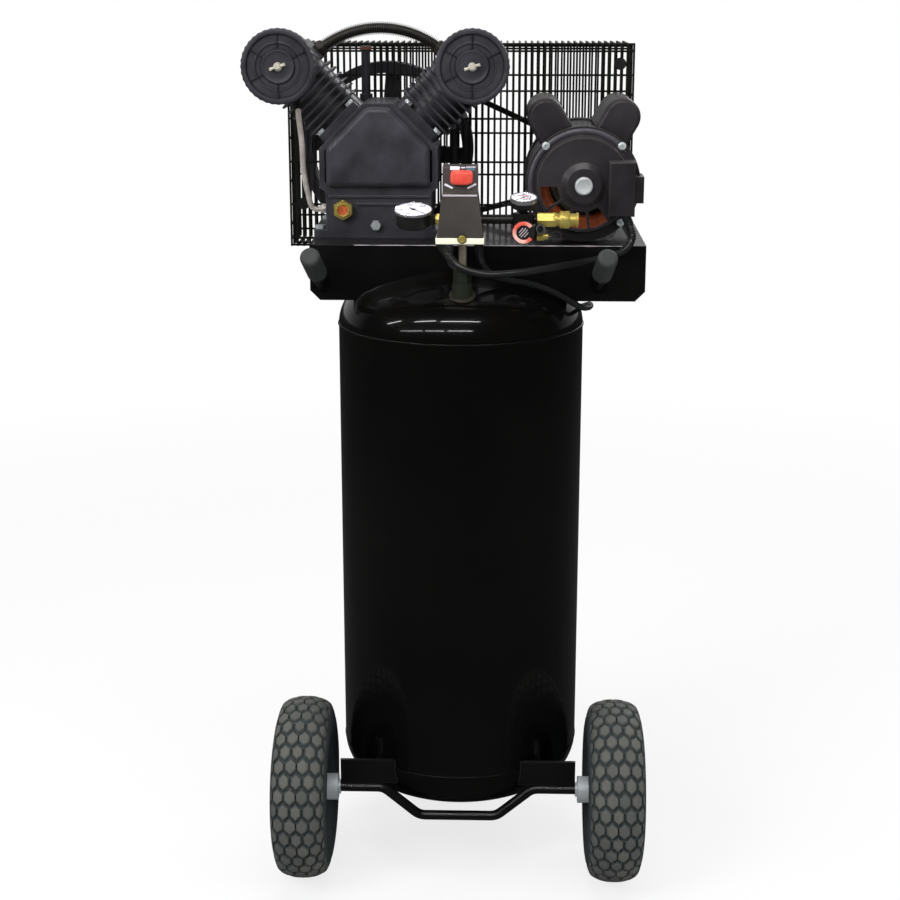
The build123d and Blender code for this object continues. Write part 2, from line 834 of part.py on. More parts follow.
sight_x = pump_x - 51.0
sight_z = crank_z - 67.0
sight_flats = 13.0
with BuildPart() as oil_sight_glass:
    with BuildSketch(front_plane(sight_x, case_front, sight_z)):
        RegularPolygon(sight_flats, 6, major_radius=False)
    extrude(amount=12)
    with BuildSketch(front_plane(sight_x, case_front - 12, sight_z)):
        Circle(8)
    extrude(amount=-2, mode=Mode.SUBTRACT)
pieces["oil_sight_glass"] = oil_sight_glass.part

bolt_flats = 5.5
bolt_head = 5.0
plug_z = crank_z - 89.0
with BuildPart() as pump_bolts:
    # four hold each cylinder, four hold the pump's feet and one plugs the sump
    for plane in cylinder_planes.values():
        with BuildSketch(plane.offset(deck_height + cylinder_flange)):
            with GridLocations(2 * flange_half_y - 14, 2 * cylinder_flange_half - 14, 2, 2):
                RegularPolygon(bolt_flats, 6, major_radius=False)
        extrude(amount=bolt_head)
    with BuildSketch(level(platform_top + base_height)):
        for bolt_y in foot_bolt_ys:
            with Locations((pump_x - foot_bolt_x, bolt_y), (pump_x + foot_bolt_x, bolt_y)):
                RegularPolygon(bolt_flats + 1, 6, major_radius=False)
    extrude(amount=bolt_head)
    with BuildSketch(front_plane(pump_x - 4, case_front, plug_z)):
        RegularPolygon(bolt_flats + 1, 6, major_radius=False)
    extrude(amount=8)

# ---------------------------------------------------------------- flywheel, pulley and belt
spoke_width = 24.0
spoke_thickness = 12.0
groove_half = belt_top_half + belt_gap + belt_inset * (belt_top_half - belt_bottom_half) / belt_depth


def grooved_rim(x, radius, half_width, bore):
    """Half a section of a pulley's rim, with one groove for the belt; it lies in a level plane."""
    floor = radius - belt_inset - belt_depth - groove_floor
    outline(
        [
            (x + bore, drive_y - half_width),
            (x + radius, drive_y - half_width),
            (x + radius, drive_y - groove_half),
            (x + floor, drive_y - belt_bottom_half + 0.3),
            (x + floor, drive_y + belt_bottom_half - 0.3),
            (x + radius, drive_y + groove_half),
            (x + radius, drive_y + half_width),
            (x + bore, drive_y + half_width),
        ]
    )


rim_bore = flywheel_radius - flywheel_rim
with BuildPart() as flywheel:
    with BuildSketch(level(crank_z)):
        grooved_rim(pump_x, flywheel_radius, flywheel_half_width, rim_bore)
        with Locations((pump_x + crank_radius + running_fit, drive_y)):
            Rectangle(
                flywheel_hub_radius - crank_radius - running_fit,
                2 * flywheel_half_width + 6,
                align=(Align.MIN, Align.CENTER),
            )
    revolve(axis=crank_line)
    with BuildSketch(front_plane(pump_x, drive_y - spoke_thickness / 2, crank_z)):
        with PolarLocations((rim_bore + flywheel_hub_radius) / 2, 4, start_angle=-5):
            Rectangle(rim_bore - flywheel_hub_radius + 4, spoke_width)
    extrude(amount=-spoke_thickness)
pieces["flywheel"] = flywheel.part

with BuildPart() as motor_pulley:
    with BuildSketch(level(motor_z)):
        grooved_rim(motor_x, motor_pulley_radius, 10.0, shaft_radius + running_fit)
        with Locations((motor_x + shaft_radius + running_fit, drive_y)):
            Rectangle(8, 32, align=(Align.MIN, Align.MIN))
    revolve(axis=motor_line)
pieces["motor_pulley"] = motor_pulley.part

# the belt wraps the two pitch circles and runs straight along their outer tangents
pitch_in = belt_inset + belt_depth / 2
flywheel_pitch = flywheel_radius - pitch_in
pulley_pitch = motor_pulley_radius - pitch_in
centre_run = Vector(motor_x - pump_x, 0, motor_z - crank_z)
centre_slope = atan2(centre_run.Z, centre_run.X)
half_wrap = acos((flywheel_pitch - pulley_pitch) / centre_run.length)
straight_run = sqrt(centre_run.length**2 - (flywheel_pitch - pulley_pitch) ** 2)


def belt_plane(x, z, pitch, angle):
    """The plane across the belt where it leaves a pulley: its own x points outwards."""
    out = Vector(cos(angle), 0, sin(angle))
    return Plane(Vector(x, drive_y, z) + out * pitch, x_dir=out, z_dir=out.cross(Vector(0, 1, 0)))


belt_points = [
    (belt_depth / 2, -belt_top_half),
    (belt_depth / 2, belt_top_half),
    (-belt_depth / 2, belt_bottom_half),
    (-belt_depth / 2, -belt_bottom_half),
]
upper_tangent = centre_slope + half_wrap
lower_tangent = centre_slope - half_wrap
with BuildPart() as drive_belt:
    with BuildSketch(belt_plane(pump_x, crank_z, flywheel_pitch, lower_tangent)):
        outline(belt_points)
    revolve(axis=crank_line, revolution_arc=360 - 2 * degrees(half_wrap))
    with BuildSketch(belt_plane(motor_x, motor_z, pulley_pitch, upper_tangent)):
        outline(belt_points)
    revolve(axis=motor_line, revolution_arc=2 * degrees(half_wrap))
    with BuildSketch(belt_plane(pump_x, crank_z, flywheel_pitch, upper_tangent)):
        outline(belt_points)
    extrude(amount=-straight_run)
    with BuildSketch(belt_plane(pump_x, crank_z, flywheel_pitch, lower_tangent)):
        outline(belt_points)
    extrude(amount=straight_run)
pieces["drive_belt"] = drive_belt.part

# ---------------------------------------------------------------- belt guard
# Two welded wire panels: a flat one against the platform, and a rear shell bent round the drive.
guard_front = platform_back
guard_width = guard_right - guard_left
upright_pitch = (guard_width - wire) / (upright_count - 1)
edge_rows = [
    guard_bottom + wire / 2,
    guard_bottom + edge_row_step,
    guard_top - edge_row_step,
    guard_top - wire / 2,
]
front_rows = sorted(edge_rows + [front_row_start + index * row_pitch for index in range(4)])
back_rows = sorted(edge_rows + [back_row_start + index * row_pitch for index in range(4)])
# gaps in the front panel's uprights, between two rows, let the two shafts through
shaft_gaps = (
    (pump_x, crank_radius, front_rows[3], front_rows[4]),
    (motor_x, shaft_radius, front_rows[2], front_rows[3]),
)
with BuildPart() as front_uprights:
    with BuildSketch(front_plane(0, guard_front + wire, 0)):
        for index in range(upright_count):
            x = guard_left + wire / 2 + index * upright_pitch
            spans = [(guard_bottom, guard_top)]
            for shaft_x, shaft_size, low_row, high_row in shaft_gaps:
                if abs(x - shaft_x) < shaft_size + wire:
                    spans = [(guard_bottom, low_row + wire / 2), (high_row - wire / 2, guard_top)]
            for bottom, top in spans:
                with Locations((x, bottom)):
                    Rectangle(wire, top - bottom, align=(Align.CENTER, Align.MIN))
    extrude(amount=wire)
with BuildPart() as front_crossbars:
    with BuildSketch(front_plane(0, guard_front + 2 * wire, 0)):
        for row in front_rows:
            with Locations((guard_left, row)):
                Rectangle(guard_width, wire, align=(Align.MIN, Align.CENTER))
    extrude(amount=wire)
pieces["guard_front_panel"] = together(front_uprights, front_crossbars)

shell_start = guard_front + 2 * wire + 0.2
hoop_back = guard_back - wire
shell_depth = hoop_back - shell_start
with BuildPart() as rear_uprights:
    with BuildSketch(front_plane(0, hoop_back, guard_bottom)):
        for index in range(1, upright_count - 1):
            with Locations((guard_left + index * upright_pitch, 0)):
                Rectangle(wire, guard_top - guard_bottom, align=(Align.MIN, Align.MIN))
    extrude(amount=-wire)
# each upright's two returns run forward from it, along the top and the bottom
with BuildPart() as rear_returns:
    for height in (guard_bottom, guard_top - wire):
        with BuildSketch(level(height)):
            for index in range(1, upright_count - 1):
                with Locations((guard_left + index * upright_pitch, shell_start)):
                    Rectangle(wire, shell_depth, align=(Align.MIN, Align.MIN))
        extrude(amount=wire)
with BuildPart() as side_uprights:
    side_count = round((guard_back - shell_start) / upright_pitch)
    side_pitch = (shell_depth - 2 * wire) / side_count
    with BuildSketch(level(guard_bottom + wire)):
        for edge in (guard_left + wire, guard_right - 2 * wire):
            for index in range(side_count):
                with Locations((edge, shell_start + index * side_pitch)):
                    Rectangle(wire, wire, align=(Align.MIN, Align.MIN))
    extrude(amount=guard_top - guard_bottom - 2 * wire)
with BuildPart() as back_bands:
    with BuildSketch(front_plane(0, hoop_back - wire, 0)):
        for row in back_rows[1:-1]:
            with Locations((guard_left, row)):
                Rectangle(guard_width, wire, align=(Align.MIN, Align.CENTER))
    extrude(amount=-wire)
with BuildPart() as side_bands:
    for row in back_rows[1:-1]:
        with BuildSketch(level(row - wire / 2)):
            for edge in (guard_left, guard_right - wire):
                with Locations((edge, shell_start)):
                    Rectangle(wire, shell_depth - wire, align=(Align.MIN, Align.MIN))
        extrude(amount=wire)
    # wires across the top and bottom, under and over the returns
    for height in (guard_bottom + wire, guard_top - 2 * wire):
        with BuildSketch(level(height)):
            for share in (0.02, 0.5):
                with Locations((guard_left + 2 * wire, shell_start + share * shell_depth)):
                    Rectangle(guard_width - 4 * wire, wire, align=(Align.MIN, Align.MIN))
        extrude(amount=wire)
pieces["guard_rear_shell"] = together(
    rear_uprights, rear_returns, side_uprights, back_bands, side_bands
)

# round clips clamp the two panels together, and bolts hold the front panel to the platform
clip_radius = 9.0
with BuildPart() as guard_clips:
    clip_spots = (
        (guard_left + 22, back_rows[2] + 32),
        (guard_right - 22, guard_top - 30),
        (guard_left + 22, guard_top - 30),
        (guard_right - 22, back_rows[2] + 32),
    )
    for x, z in clip_spots:
        with BuildSketch(front_plane(x, guard_front - 0.1, z)):
            Circle(clip_radius)
        extrude(amount=5)
pieces["guard_clips"] = guard_clips.part

# ---------------------------------------------------------------- motor
with BuildPart() as motor_shell:
    with BuildSketch(front_plane(motor_x, shell_front, motor_z)):
        Circle(motor_radius)
        Circle(motor_radius - 3, mode=Mode.SUBTRACT)
    extrude(amount=shell_front - shell_back)
    with BuildSketch(front_plane(motor_x, shell_front + 14, motor_z)):
        Circle(motor_radius - 2)
        Circle(bore_radius, mode=Mode.SUBTRACT)
    extrude(amount=shell_front - shell_back + 28)
pieces["motor_shell"] = motor_shell.part

bell_shoulder = bell_radius - 11.5
bell_edge = bell_radius - 15.5
bell_reach = 19.0
boss_radius_motor = 24.0
bell_points = [
    (bell_radius, shell_front),
    (bell_radius, shell_front - bell_reach),
    (bell_shoulder, shell_front - bell_reach),
    (bell_edge, motor_front + 8),
    (boss_radius_motor + 8, motor_front + 4),
    (boss_radius_motor, motor_front),
    (shaft_cap_radius + 1, motor_front),
    (shaft_cap_radius + 1, motor_front + bell_wall),
]


def bell_section(points, back):
    """The bell's section in a level plane: its outside and a wall of even thickness."""
    inward = bell_wall if points[0][1] > points[-1][1] else -bell_wall
    inside = [
        (motor_bearing_radius, points[-1][1]),
        (motor_bearing_radius, back),
        (boss_radius_motor, back),
        (boss_radius_motor, points[4][1] + inward),
        (bell_edge - bell_wall, points[3][1] + inward),
        (bell_shoulder - bell_wall, points[2][1] + inward),
        (bell_radius - bell_wall, points[1][1] + inward),
        (bell_radius - bell_wall, points[0][1]),
    ]
    outline([(motor_x + radius, y) for radius, y in points + inside])


vent_inner = 36.0
vent_outer = 61.0
vent_rib = 4.0
with BuildPart() as motor_front_bell:
    with BuildSketch(level(motor_z)):
        bell_section(bell_points, motor_front + bell_wall + 1 + motor_bearing_width)
    revolve(axis=motor_line)
    # the vents are a ring sector low on the left, with ribs left standing across it
    with BuildSketch(front_plane(motor_x, motor_front - 1, motor_z)):
        Circle(vent_outer)
        Circle(vent_inner, mode=Mode.SUBTRACT)
        with BuildLine():
            fan_start = PolarLine((0, 0), 2 * vent_outer, 182)
            fan_end = PolarLine((0, 0), 2 * vent_outer, 305)
            ThreePointArc(
                fan_start @ 1,
                (2 * vent_outer * cos(radians(243.5)), 2 * vent_outer * sin(radians(243.5))),
                fan_end @ 1,
            )
        make_face(mode=Mode.INTERSECT)
        for angle in (214, 246, 278):
            Rectangle(4 * vent_outer, vent_rib, rotation=angle, mode=Mode.SUBTRACT)
    extrude(amount=-30, mode=Mode.SUBTRACT)
pieces["motor_front_bell"] = motor_front_bell.part

rear_points = [
    (bell_radius, shell_back),
    (bell_radius, shell_back + bell_reach),
    (bell_shoulder, shell_back + bell_reach),
    (bell_edge, motor_back - 8),
    (boss_radius_motor + 8, motor_back - 4),
    (boss_radius_motor, motor_back),
    (shaft_radius + 2, motor_back),
    (shaft_radius + 2, motor_back - bell_wall),
]
with BuildPart() as motor_rear_bell:
    with BuildSketch(level(motor_z)):
        bell_section(rear_points, motor_back - bell_wall - 1 - motor_bearing_width)
    revolve(axis=motor_line)
    with BuildSketch(front_plane(motor_x, motor_back + 1, motor_z)):
        with PolarLocations((vent_inner + vent_outer) / 2, 8):
            SlotOverall(vent_outer - vent_inner, 9)
    extrude(amount=30, mode=Mode.SUBTRACT)
pieces["motor_rear_bell"] = motor_rear_bell.part

# copper end turns: a ring at each end of the stator's core
winding_inner = bore_radius + 3
winding_outer = motor_radius - 9
with BuildPart() as stator_windings:
    for start, length in ((shell_front - 12, 25.6), (shell_back - 13.6, 25.6)):
        with BuildSketch(front_plane(motor_x, start, motor_z)):
            Circle(winding_outer)
            Circle(winding_inner, mode=Mode.SUBTRACT)
        extrude(amount=-length)
    chamfer(stator_windings.edges().filter_by(GeomType.CIRCLE), 4)
pieces["stator_windings"] = stator_windings.part

with BuildPart() as motor_rotor:
    with BuildSketch(front_plane(motor_x, motor_front + bell_wall + 1, motor_z)):
        Circle(shaft_radius)
    extrude(amount=motor_front + bell_wall + 1 - drive_y - 16)
    with BuildSketch(front_plane(motor_x, motor_front + bell_wall + 1, motor_z)):
        Circle(shaft_cap_radius)
    extrude(amount=bell_wall + 4)
    with BuildSketch(front_plane(motor_x, shell_front + 12, motor_z)):
        Circle(bore_radius - rotor_gap)
    extrude(amount=shell_front - shell_back + 24)
pieces["motor_rotor"] = motor_rotor.part

# a capacitor sits under each of two domed covers on the motor's shoulders
capacitor_radius = 26.0
capacitor_reach = 107.0
capacitor_length = 130.0
capacitor_lean = 30.0
with BuildPart() as capacitor_covers:
    for lean in (-capacitor_lean, capacitor_lean):
        out = Vector(sin(radians(lean)), 0, cos(radians(lean)))
        seat = Plane((motor_x, shell_front - 6, motor_z), x_dir=out, z_dir=(0, -1, 0))
        with BuildSketch(seat) as ear:
            with Locations((capacitor_reach, 0)):
                Circle(capacitor_radius)
            with Locations((motor_radius * 0.75, 0)):
                Rectangle(4, 2 * capacitor_radius)
            make_hull()
        extrude(amount=-capacitor_length)
        extrude(ear.sketch.face(), amount=6, taper=40)
    with BuildSketch(front_plane(motor_x, -100, motor_z)):
        Circle(bell_radius + 0.2)
    extrude(amount=-400, mode=Mode.SUBTRACT)
pieces["capacitor_covers"] = capacitor_covers.part

terminal_left = motor_x + 34.0
terminal_right = motor_x + 71.0
terminal_bottom = motor_z - 41.0
terminal_top = motor_z + 35.0
terminal_front = motor_front - 16
with BuildPart() as motor_form:
    with BuildSketch(level(motor_z)):
        outline(
            [(motor_x, shell_back), (motor_x + bell_radius + 0.1, shell_back)]
            + [(motor_x + radius + 0.1, y - 0.1) for radius, y in bell_points[:7]]
            + [(motor_x, motor_front - 0.1)]
        )
    revolve(axis=motor_line)
with BuildPart() as terminal_box:
    with BuildSketch(front_plane(0, terminal_front, 0)):
        with Locations((terminal_left, terminal_bottom)):
            Rectangle(
                terminal_right - terminal_left,
                terminal_top - terminal_bottom,
                align=(Align.MIN, Align.MIN),
            )
    extrude(amount=-45)
    fillet(terminal_box.edges().group_by(Axis.Y)[0], 3)
    with BuildSketch(front_plane(0, motor_front + 4, 0)):
        with Locations((motor_x + 60, motor_z - 6)):
            Rectangle(24.5, 37, align=(Align.MIN, Align.CENTER))
    extrude(amount=-50)
    add(motor_form.part, mode=Mode.SUBTRACT)
pieces["terminal_box"] = terminal_box.part

# a folded cradle carries the shell on two ends and a slotted sole
sole_half = 66.0
sole_wall = 3.0
sole_length = shell_back - shell_front - 6
cradle_ys = (shell_front + 6, shell_back - 10)
with BuildPart() as motor_base:
    with BuildSketch(level(platform_top)):
        with Locations((motor_x, (shell_front + shell_back) / 2)):
            Rectangle(2 * sole_half, sole_length)
            with GridLocations(2 * sole_half - 22, sole_length - 20, 2, 2):
                SlotOverall(16, 7, mode=Mode.SUBTRACT)
    extrude(amount=sole_wall)
    for y in cradle_ys:
        with BuildSketch(front_plane(motor_x, y, motor_z)):
            outline(
                [
                    (-sole_half + 22, platform_top - motor_z),
                    (sole_half - 22, platform_top - motor_z),
                    (sole_half - 8, -54),
                    (8 - sole_half, -54),
                ]
            )
            Circle(motor_radius + 0.1, mode=Mode.SUBTRACT)
        extrude(amount=-4)
pieces["motor_base"] = motor_base.part

# bolts through the motor's bells, in the corners of a square
with BuildPart() as motor_bolts:
    for face_y, away in ((shell_front - bell_reach, 1), (shell_back + bell_reach, -1)):
        with BuildSketch(front_plane(motor_x, face_y, motor_z)):
            with PolarLocations(bell_radius - 5.6, 4, start_angle=45):
                RegularPolygon(bolt_flats - 1, 6, major_radius=False)
        extrude(amount=away * bolt_head)
pieces["hex_bolts"] = together(pump_bolts, motor_bolts)

# ---------------------------------------------------------------- tank fittings
bung_radius = 14.0
bung_top = platform_top - 41.0
check_flats = 11.0
check_top = platform_top - 24.0
side_port_z = (bung_top + check_top) / 2
switch_middle = 2.0
with BuildPart() as tank_fittings:
    with BuildSketch(level(tank_top_seam)):
        with Locations((riser_x, riser_y)):
            Circle(bung_radius)
    extrude(amount=bung_top - tank_top_seam)
    with BuildSketch(level(bung_top)):
        with Locations((riser_x, riser_y)):
            RegularPolygon(check_flats, 6, major_radius=False)
    extrude(amount=check_top - bung_top)
    with BuildSketch(level(check_top)):
        with Locations((riser_x, riser_y)):
            Circle(riser_radius)
    extrude(amount=switch_base_z - 3 - check_top)
    add(tank_cut, mode=Mode.SUBTRACT)
    # the drain elbow under the lower head
    with BuildSketch(level(tank_seam_height - head_depth - 18)):
        RegularPolygon(9, 6, major_radius=False)
    extrude(amount=17.6)
pieces["tank_fittings"] = tank_fittings.part

drain_z = tank_seam_height - head_depth - 18
with BuildPart() as drain_knob:
    with BuildSketch(level(drain_z - gap)):
        Circle(9)
        with PolarLocations(9, 8):
            Circle(1.5, mode=Mode.SUBTRACT)
    extrude(amount=-9)
pieces["drain_knob"] = drain_knob.part

# the discharge tube drops behind the pump, crosses the platform and comes over its front edge
discharge_radius = 5.0
discharge_x = -14.0
head_back = right_cylinder_y + fin_half
discharge_z = crank_z + 118
with BuildPart() as discharge_tube:
    with BuildLine() as discharge_line:
        FilletPolyline(
            (discharge_x + 22, head_back + 0.1, discharge_z),
            (discharge_x + 22, head_back + 17, discharge_z),
            (discharge_x, head_back + 17, discharge_z - 60),
            (discharge_x, head_back + 17, platform_top + 10),
            (discharge_x, platform_front - 19, platform_top + 10),
            (discharge_x, platform_front - 19, side_port_z + 12),
            (riser_x, riser_y + check_flats + 20, side_port_z),
            (riser_x, riser_y + check_flats + 0.1, side_port_z),
            radius=[9, 24, 16, 14, 10, 10],
        )
    with BuildSketch(Plane(discharge_line.line @ 0, z_dir=discharge_line.line % 0)):
        Circle(discharge_radius)
    sweep(path=discharge_line.line)
pieces["discharge_tube"] = discharge_tube.part

# ---------------------------------------------------------------- pressure switch
cover_wall = 2.5
cover_base_z = switch_base_z + 3
port_half = 22.0
with BuildPart() as switch_base:
    with BuildSketch(level(switch_base_z - 3)):
        with Locations((switch_middle, (switch_front + switch_back) / 2)):
            Rectangle(2 * switch_half_width, switch_back - switch_front)
    extrude(amount=6)
    with BuildSketch(level(cover_base_z)):
        with Locations((switch_middle, riser_y)):
            Rectangle(2 * port_half - 4, 30)
    extrude(amount=36)
    with BuildSketch(front_plane(riser_x, switch_front, switch_base_z)):
        RegularPolygon(4, 6)
    extrude(amount=2.5)
pieces["switch_base"] = switch_base.part

shoulder_y = switch_front + 14
with BuildPart() as switch_cover:
    with BuildSketch(front_plane(switch_middle, switch_front + 1, 0)):
        outline(
            [
                (-switch_half_width + 1, cover_base_z),
                (switch_half_width - 1, cover_base_z),
                (switch_shoulder_half, switch_shoulder_z),
                (-switch_shoulder_half, switch_shoulder_z),
            ]
        )
    extrude(amount=switch_front - switch_back + 2)
    with BuildSketch(side_plane(switch_middle - switch_shoulder_half, 0, 0)):
        outline(
            [
                (shoulder_y, switch_shoulder_z),
                (shoulder_y + 5, switch_top_z),
                (switch_back - 2, switch_top_z),
                (switch_back - 2, switch_shoulder_z),
            ]
        )
    extrude(amount=2 * switch_shoulder_half)
    fillet(switch_cover.edges().filter_by(Axis.X).group_by(Axis.Z)[-1], 3)
    with BuildSketch(front_plane(switch_middle, switch_front + 1 + cover_wall, 0)):
        outline(
            [
                (-switch_half_width + 1 + cover_wall, cover_base_z),
                (switch_half_width - 1 - cover_wall, cover_base_z),
                (switch_shoulder_half - cover_wall, switch_shoulder_z - cover_wall),
                (cover_wall - switch_shoulder_half, switch_shoulder_z - cover_wall),
            ]
        )
    extrude(amount=switch_front - switch_back + 2 + 2 * cover_wall, mode=Mode.SUBTRACT)
    with BuildSketch(side_plane(switch_middle - 60, riser_y, port_z)):
        Circle(port_radius + 0.2)
    extrude(amount=120, mode=Mode.SUBTRACT)
pieces["switch_cover"] = switch_cover.part

# the on-off knob turns about an axis square to the sloping front of the switch
knob_z = platform_top + 102.0
slope = atan2(5, switch_top_z - switch_shoulder_z)
knob_out = Vector(0, -cos(slope), sin(slope))
knob_root = Vector(switch_middle + 2, shoulder_y + (knob_z - switch_shoulder_z) * tan(slope), knob_z)
knob_plane = Plane(knob_root + knob_out * gap, x_dir=(1, 0, 0), z_dir=knob_out)
with BuildPart() as switch_knob:
    with BuildSketch(knob_plane):
        RectangleRounded(32, 17, 5)
    extrude(amount=5)
    with BuildSketch(knob_plane.offset(5)):
        RectangleRounded(30, 8, 3.9)
    extrude(amount=6)
pieces["switch_knob"] = switch_knob.part

gland_radius = 7.5
gland_length = 8.0
switch_under = switch_base_z - 3
lead_lean = radians(30)
# each gland: the middle of its root, the way it points and how far it reaches
gland_set = [
    (Vector(-26, -138, switch_under), Vector(sin(lead_lean), 0, -cos(lead_lean)), gland_length),
    (Vector(27, -106, switch_under), Vector(0, 0, -1), gland_length),
    (Vector(motor_x + 59, -57, terminal_bottom), Vector(0.42, -0.1, -0.9), gland_length),
]
with BuildPart() as cable_glands:
    for root, way, length in gland_set:
        with BuildSketch(Plane(root - way * 3, z_dir=way)):
            Circle(gland_radius)
        extrude(amount=length + 3, taper=8)
    with BuildSketch(level(switch_under)):
        with Locations((switch_middle, riser_y)):
            Rectangle(200, 200)
    extrude(amount=gland_length + 4, mode=Mode.SUBTRACT)
    with BuildSketch(level(terminal_bottom)):
        with Locations((motor_x + 59, riser_y + 60)):
            Rectangle(60, 60)
    extrude(amount=gland_length + 4, mode=Mode.SUBTRACT)
pieces["cable_glands"] = cable_glands.part
lead_start, supply_start, lead_end = [root + way.normalized() * length for root, way, length in gland_set]

# ---------------------------------------------------------------- gauges and air outlet
gauge_lean = radians(gauge_tilt)
gauge_out = Vector(0, -cos(gauge_lean), sin(gauge_lean))
gauge_set = {
    "tank_gauge": (Vector(-62, riser_y, platform_top + 60), 26.0, 24.0),
    "outlet_gauge": (Vector(regulator_x, riser_y, platform_top + 77), 18.5, 16.0),
}
dial_recess = 5.0
stem_end = gauge_set["tank_gauge"][0].X + gauge_set["tank_gauge"][1] + 4
with BuildPart() as gauge_cases:
    for face, radius, depth in gauge_set.values():
        case_plane = Plane(face, x_dir=(1, 0, 0), z_dir=gauge_out)
        with BuildSketch(case_plane):
            Circle(radius)
        extrude(amount=-depth)
        chamfer(gauge_cases.edges().filter_by(GeomType.CIRCLE).sort_by(Axis.Z)[-1], 0.8)
        with BuildSketch(case_plane.offset(-dial_recess)):
            Circle(radius - 2)
            Circle(1.2, mode=Mode.SUBTRACT)
        extrude(amount=dial_recess + 1, mode=Mode.SUBTRACT)
    # the tank gauge's stem leaves its rim towards the switch
    with BuildSketch(side_plane(stem_end, riser_y, port_z)):
        Rectangle(14, 14)
    extrude(amount=-10)
pieces["gauge_cases"] = gauge_cases.part

# where each needle rests, at zero: both dials have their stem opposite the gap in the scale
needle_rest = {"tank_gauge": -45, "outlet_gauge": -135}
for name, (face, radius, depth) in gauge_set.items():
    needle_half = radius * 0.06
    needle_plane = Plane(face - gauge_out * (dial_recess - 1), x_dir=(1, 0, 0), z_dir=gauge_out)
    with BuildPart() as needle:
        with BuildSketch(needle_plane):
            Circle(radius * 0.14)
            Circle(1.25, mode=Mode.SUBTRACT)
            Polygon(
                (-radius * 0.3, -needle_half),
                (-radius * 0.3, needle_half),
                (radius * 0.78, needle_half / 2),
                (radius * 0.78, -needle_half / 2),
                align=None,
                rotation=needle_rest[name],
            )
            Circle(1.25, mode=Mode.SUBTRACT)
        extrude(amount=1.4)
    pieces[name + "_needle"] = needle.part

# brass and steel fittings between the switch, the gauges, the regulator and the coupler
outlet_face, outlet_gauge_radius, outlet_gauge_depth = gauge_set["outlet_gauge"]
outlet_stem = outlet_face - gauge_out * outlet_gauge_depth
port_left = switch_middle - port_half + 2
port_right = switch_middle + port_half - 2
regulator_radius = 14.0
regulator_bottom = platform_top + 19.0
regulator_top = platform_top + 55.0
regulator_knob_z = platform_top + 32.6
coupler_start = regulator_x + regulator_radius + 5
coupler_end = 162.0
coupler_radius = 9.0
coupler_bore = 5.0
sleeve_start = coupler_start + 30
sleeve_length = 14.0
sleeve_radius = 12.0
sleeve_travel = 5.0
with BuildPart() as air_fittings:
    # the nipple to the tank gauge
    with BuildSketch(side_plane(stem_end, riser_y, port_z)):
        Circle(port_radius - 1)
    extrude(amount=port_left - stem_end)
    # the nipple to the regulator
    with BuildSketch(side_plane(port_right, riser_y, port_z)):
        Circle(port_radius - 1)
    extrude(amount=regulator_x - regulator_radius - port_right)
    # the quick coupler: a hexagon, a barrel for the sleeve and the plug's bore
    with BuildSketch(side_plane(regulator_x + regulator_radius, riser_y, port_z)):
        Circle(port_radius - 1)
    extrude(amount=coupler_start - regulator_x - regulator_radius)
    with BuildSketch(side_plane(coupler_start, riser_y, port_z)):
        RegularPolygon(coupler_radius, 6, major_radius=False)
    extrude(amount=22)
    with BuildSketch(side_plane(coupler_start + 22, riser_y, port_z)):
        Circle(coupler_radius - 0.5)
    extrude(amount=coupler_end - coupler_start - 22)
    with BuildSketch(side_plane(coupler_end, riser_y, port_z)):
        Circle(coupler_bore)
    extrude(amount=-36, mode=Mode.SUBTRACT)

with BuildPart() as coupler_sleeve:
    with BuildSketch(side_plane(sleeve_start, riser_y, port_z)):
        Circle(sleeve_radius)
        Circle(coupler_radius - 0.5 + running_fit, mode=Mode.SUBTRACT)
    extrude(amount=sleeve_length)
    chamfer(coupler_sleeve.edges().filter_by(GeomType.CIRCLE).sort_by_distance((0, 0, 0))[-1], 1)
pieces["coupler_sleeve"] = coupler_sleeve.part

# the regulator: an upright body with side ports, a bonnet facing the front and a gauge on top
with BuildPart() as regulator_body:
    with BuildSketch(level(regulator_bottom)):
        with Locations((regulator_x, riser_y)):
            Circle(regulator_radius)
    extrude(amount=regulator_top - regulator_bottom)
    with BuildSketch(front_plane(regulator_x, riser_y, regulator_knob_z)):
        Circle(11)
    extrude(amount=regulator_radius + 4)
    with BuildSketch(Plane(outlet_stem, z_dir=gauge_out)):
        RegularPolygon(6, 6, major_radius=False)
    extrude(amount=-12)

regulator_knob_y = riser_y - regulator_radius - 4 - gap
with BuildPart() as regulator_knob:
    with BuildSketch(front_plane(regulator_x, regulator_knob_y, regulator_knob_z)):
        Circle(15.5)
        with PolarLocations(16.2, 16):
            Circle(1.2, mode=Mode.SUBTRACT)
    extrude(amount=14)
pieces["regulator_knob"] = regulator_knob.part

safety_z = regulator_bottom + 4
with BuildPart() as safety_valve:
    with BuildSketch(side_plane(regulator_x + regulator_radius + 0.1, riser_y, safety_z)):
        RegularPolygon(5, 6, major_radius=False)
    extrude(amount=14)
    with BuildSketch(side_plane(regulator_x + regulator_radius + 14, riser_y, safety_z)):
        Circle(4)
    extrude(amount=6)
    with BuildSketch(side_plane(regulator_x + regulator_radius + 20, riser_y, safety_z)):
        Circle(1.2 + running_fit)
    extrude(amount=-12, mode=Mode.SUBTRACT)
pieces["air_fittings"] = together(air_fittings, regulator_body, safety_valve)

with BuildPart() as safety_ring:
    with BuildSketch(side_plane(regulator_x + regulator_radius + 9, riser_y, safety_z)):
        Circle(1.2)
    extrude(amount=15)
    with BuildSketch(front_plane(regulator_x + regulator_radius + 31, riser_y - 1, safety_z)):
        Circle(8)
        Circle(6, mode=Mode.SUBTRACT)
    extrude(amount=-2)
pieces["safety_ring"] = safety_ring.part

